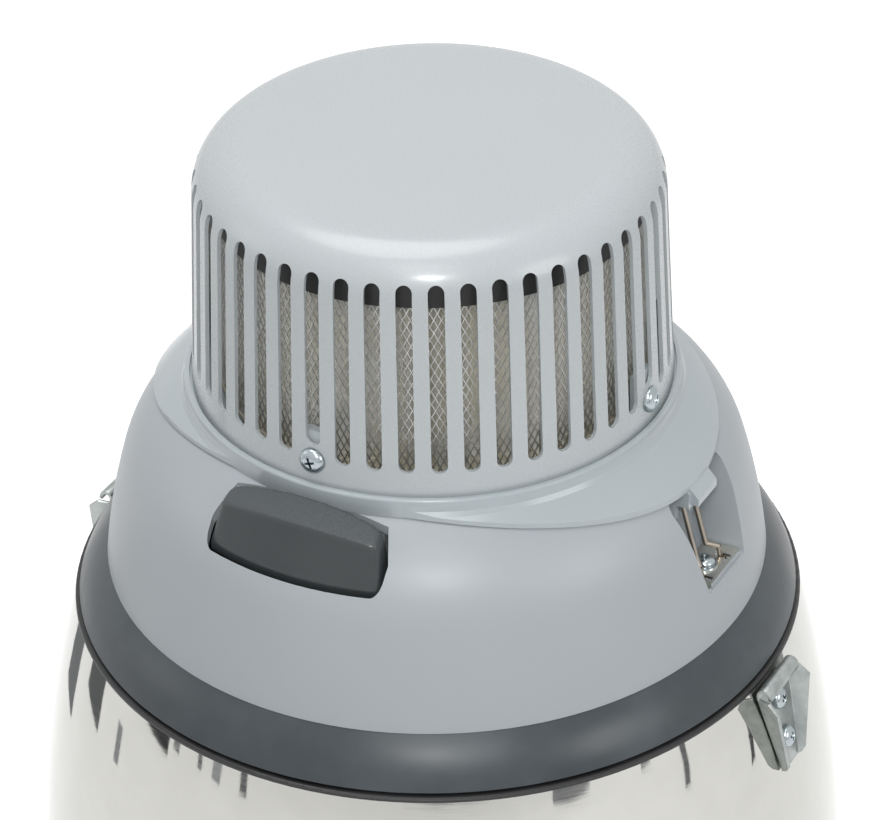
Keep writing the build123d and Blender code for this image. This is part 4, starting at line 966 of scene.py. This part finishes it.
# %% [markdown]
# The cap's front is smooth and its top has a coarse grain for grip. The grain
# comes in where the surface looks up, so one finish does for both.

# %% The pedal's finish
GRIP_SCALE, GRIP_DEPTH, RUBBED_SCALE = 1100.0, 0.00045, 40.0
# How far a face looks up where the grain begins, and where it is all there.
GRIP_BEGINS, GRIP_FULL = 0.60, 0.80
SMOOTH_ROUGH, GRIP_ROUGHER, RUBBED_ROUGHER = 0.24, 0.26, 0.10


def pedal_moulding(name, colour):
    """Smooth front, spark-eroded top: the grain comes in where the face looks up."""
    f = finish(name)
    upright = f.node("ShaderNodeNewGeometry", out="Normal")
    facing = f.node("ShaderNodeSeparateXYZ", values={0: upright}, out="Z")
    top = f.step(facing, GRIP_BEGINS, GRIP_FULL)
    grain = f.noise(GRIP_SCALE, 2.0, 0.6)
    slow = f.noise(RUBBED_SCALE, 4.0, 0.6)
    paler = [c * 1.45 + 0.012 for c in colour]
    worn = f.blend(f.step(slow, 0.35, 0.8), colour, [c * 1.12 for c in colour])
    shader = f.shade(
        Base_Color=f.blend(top * 0.75, worn, paler),
        Roughness=top * GRIP_ROUGHER + SMOOTH_ROUGH + slow * RUBBED_ROUGHER,
        Normal=f.bump(grain * top, GRIP_DEPTH),
    )
    return f.end(shader)


finishes["pedal_moulding"] = pedal_moulding("pedal_moulding", PEDAL_GREY)
settle(pedal, "pedal_cap", slot_of["foot_pedal"], "pedal", "pedal_moulding")
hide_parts("foot_pedal")
print("pedal width:", round(pedal.dimensions.x, 4), "m")

# %% [markdown]
# ## The return spring under the pedal
# The spring is one small ring of wire, screwed up the plunger's axis. It takes
# its foot, its height and its width from the solid it stands in for. A wire
# bent along a drawn path would do as well, but a screwed ring has even faces.

# %% Wind the return spring
SPRING_TURNS, SPRING_WIRE_R, PLUNGER_TRAVEL = 4, 0.0006, 0.0019
WIRE_SIDES, STEPS_PER_TURN = 12, 32
WIRE_SMOOTH = math.radians(50)
spring_low, spring_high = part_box("pedal_spring")
spring_y = (spring_low[1] + spring_high[1]) / 2
coil_r = (spring_high[0] - spring_low[0]) / 2 - SPRING_WIRE_R
coil_rise = spring_high[2] - spring_low[2] - 2 * SPRING_WIRE_R

start()
bpy.ops.mesh.primitive_circle_add(
    vertices=WIRE_SIDES, radius=SPRING_WIRE_R, location=(coil_r, 0, 0),
    rotation=(math.pi / 2, 0, 0),
)
spring = bpy.context.object
bpy.ops.object.transform_apply(location=True, rotation=True, scale=True)
winding = spring.modifiers.new("winding", "SCREW")
winding.axis, winding.angle, winding.iterations = "Z", math.radians(360), SPRING_TURNS
winding.screw_offset = coil_rise / SPRING_TURNS
winding.steps = winding.render_steps = STEPS_PER_TURN
bpy.ops.object.modifier_apply(modifier=winding.name)
spring.location = (0, spring_y, spring_low[2] + SPRING_WIRE_R)
bpy.ops.object.transform_apply(location=True, rotation=True, scale=True)
edit()
bpy.ops.mesh.select_all(action="DESELECT")
bpy.ops.mesh.select_non_manifold()
bpy.ops.mesh.edge_face_add()
bpy.ops.mesh.select_all(action="SELECT")
bpy.ops.mesh.normals_make_consistent(inside=False)
bpy.ops.object.mode_set(mode="OBJECT")
bpy.ops.object.shade_smooth_by_angle(angle=WIRE_SMOOTH)
settle(spring, "return_spring", slot_of["pedal_spring"], "head")
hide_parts("pedal_spring")
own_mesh(spring)
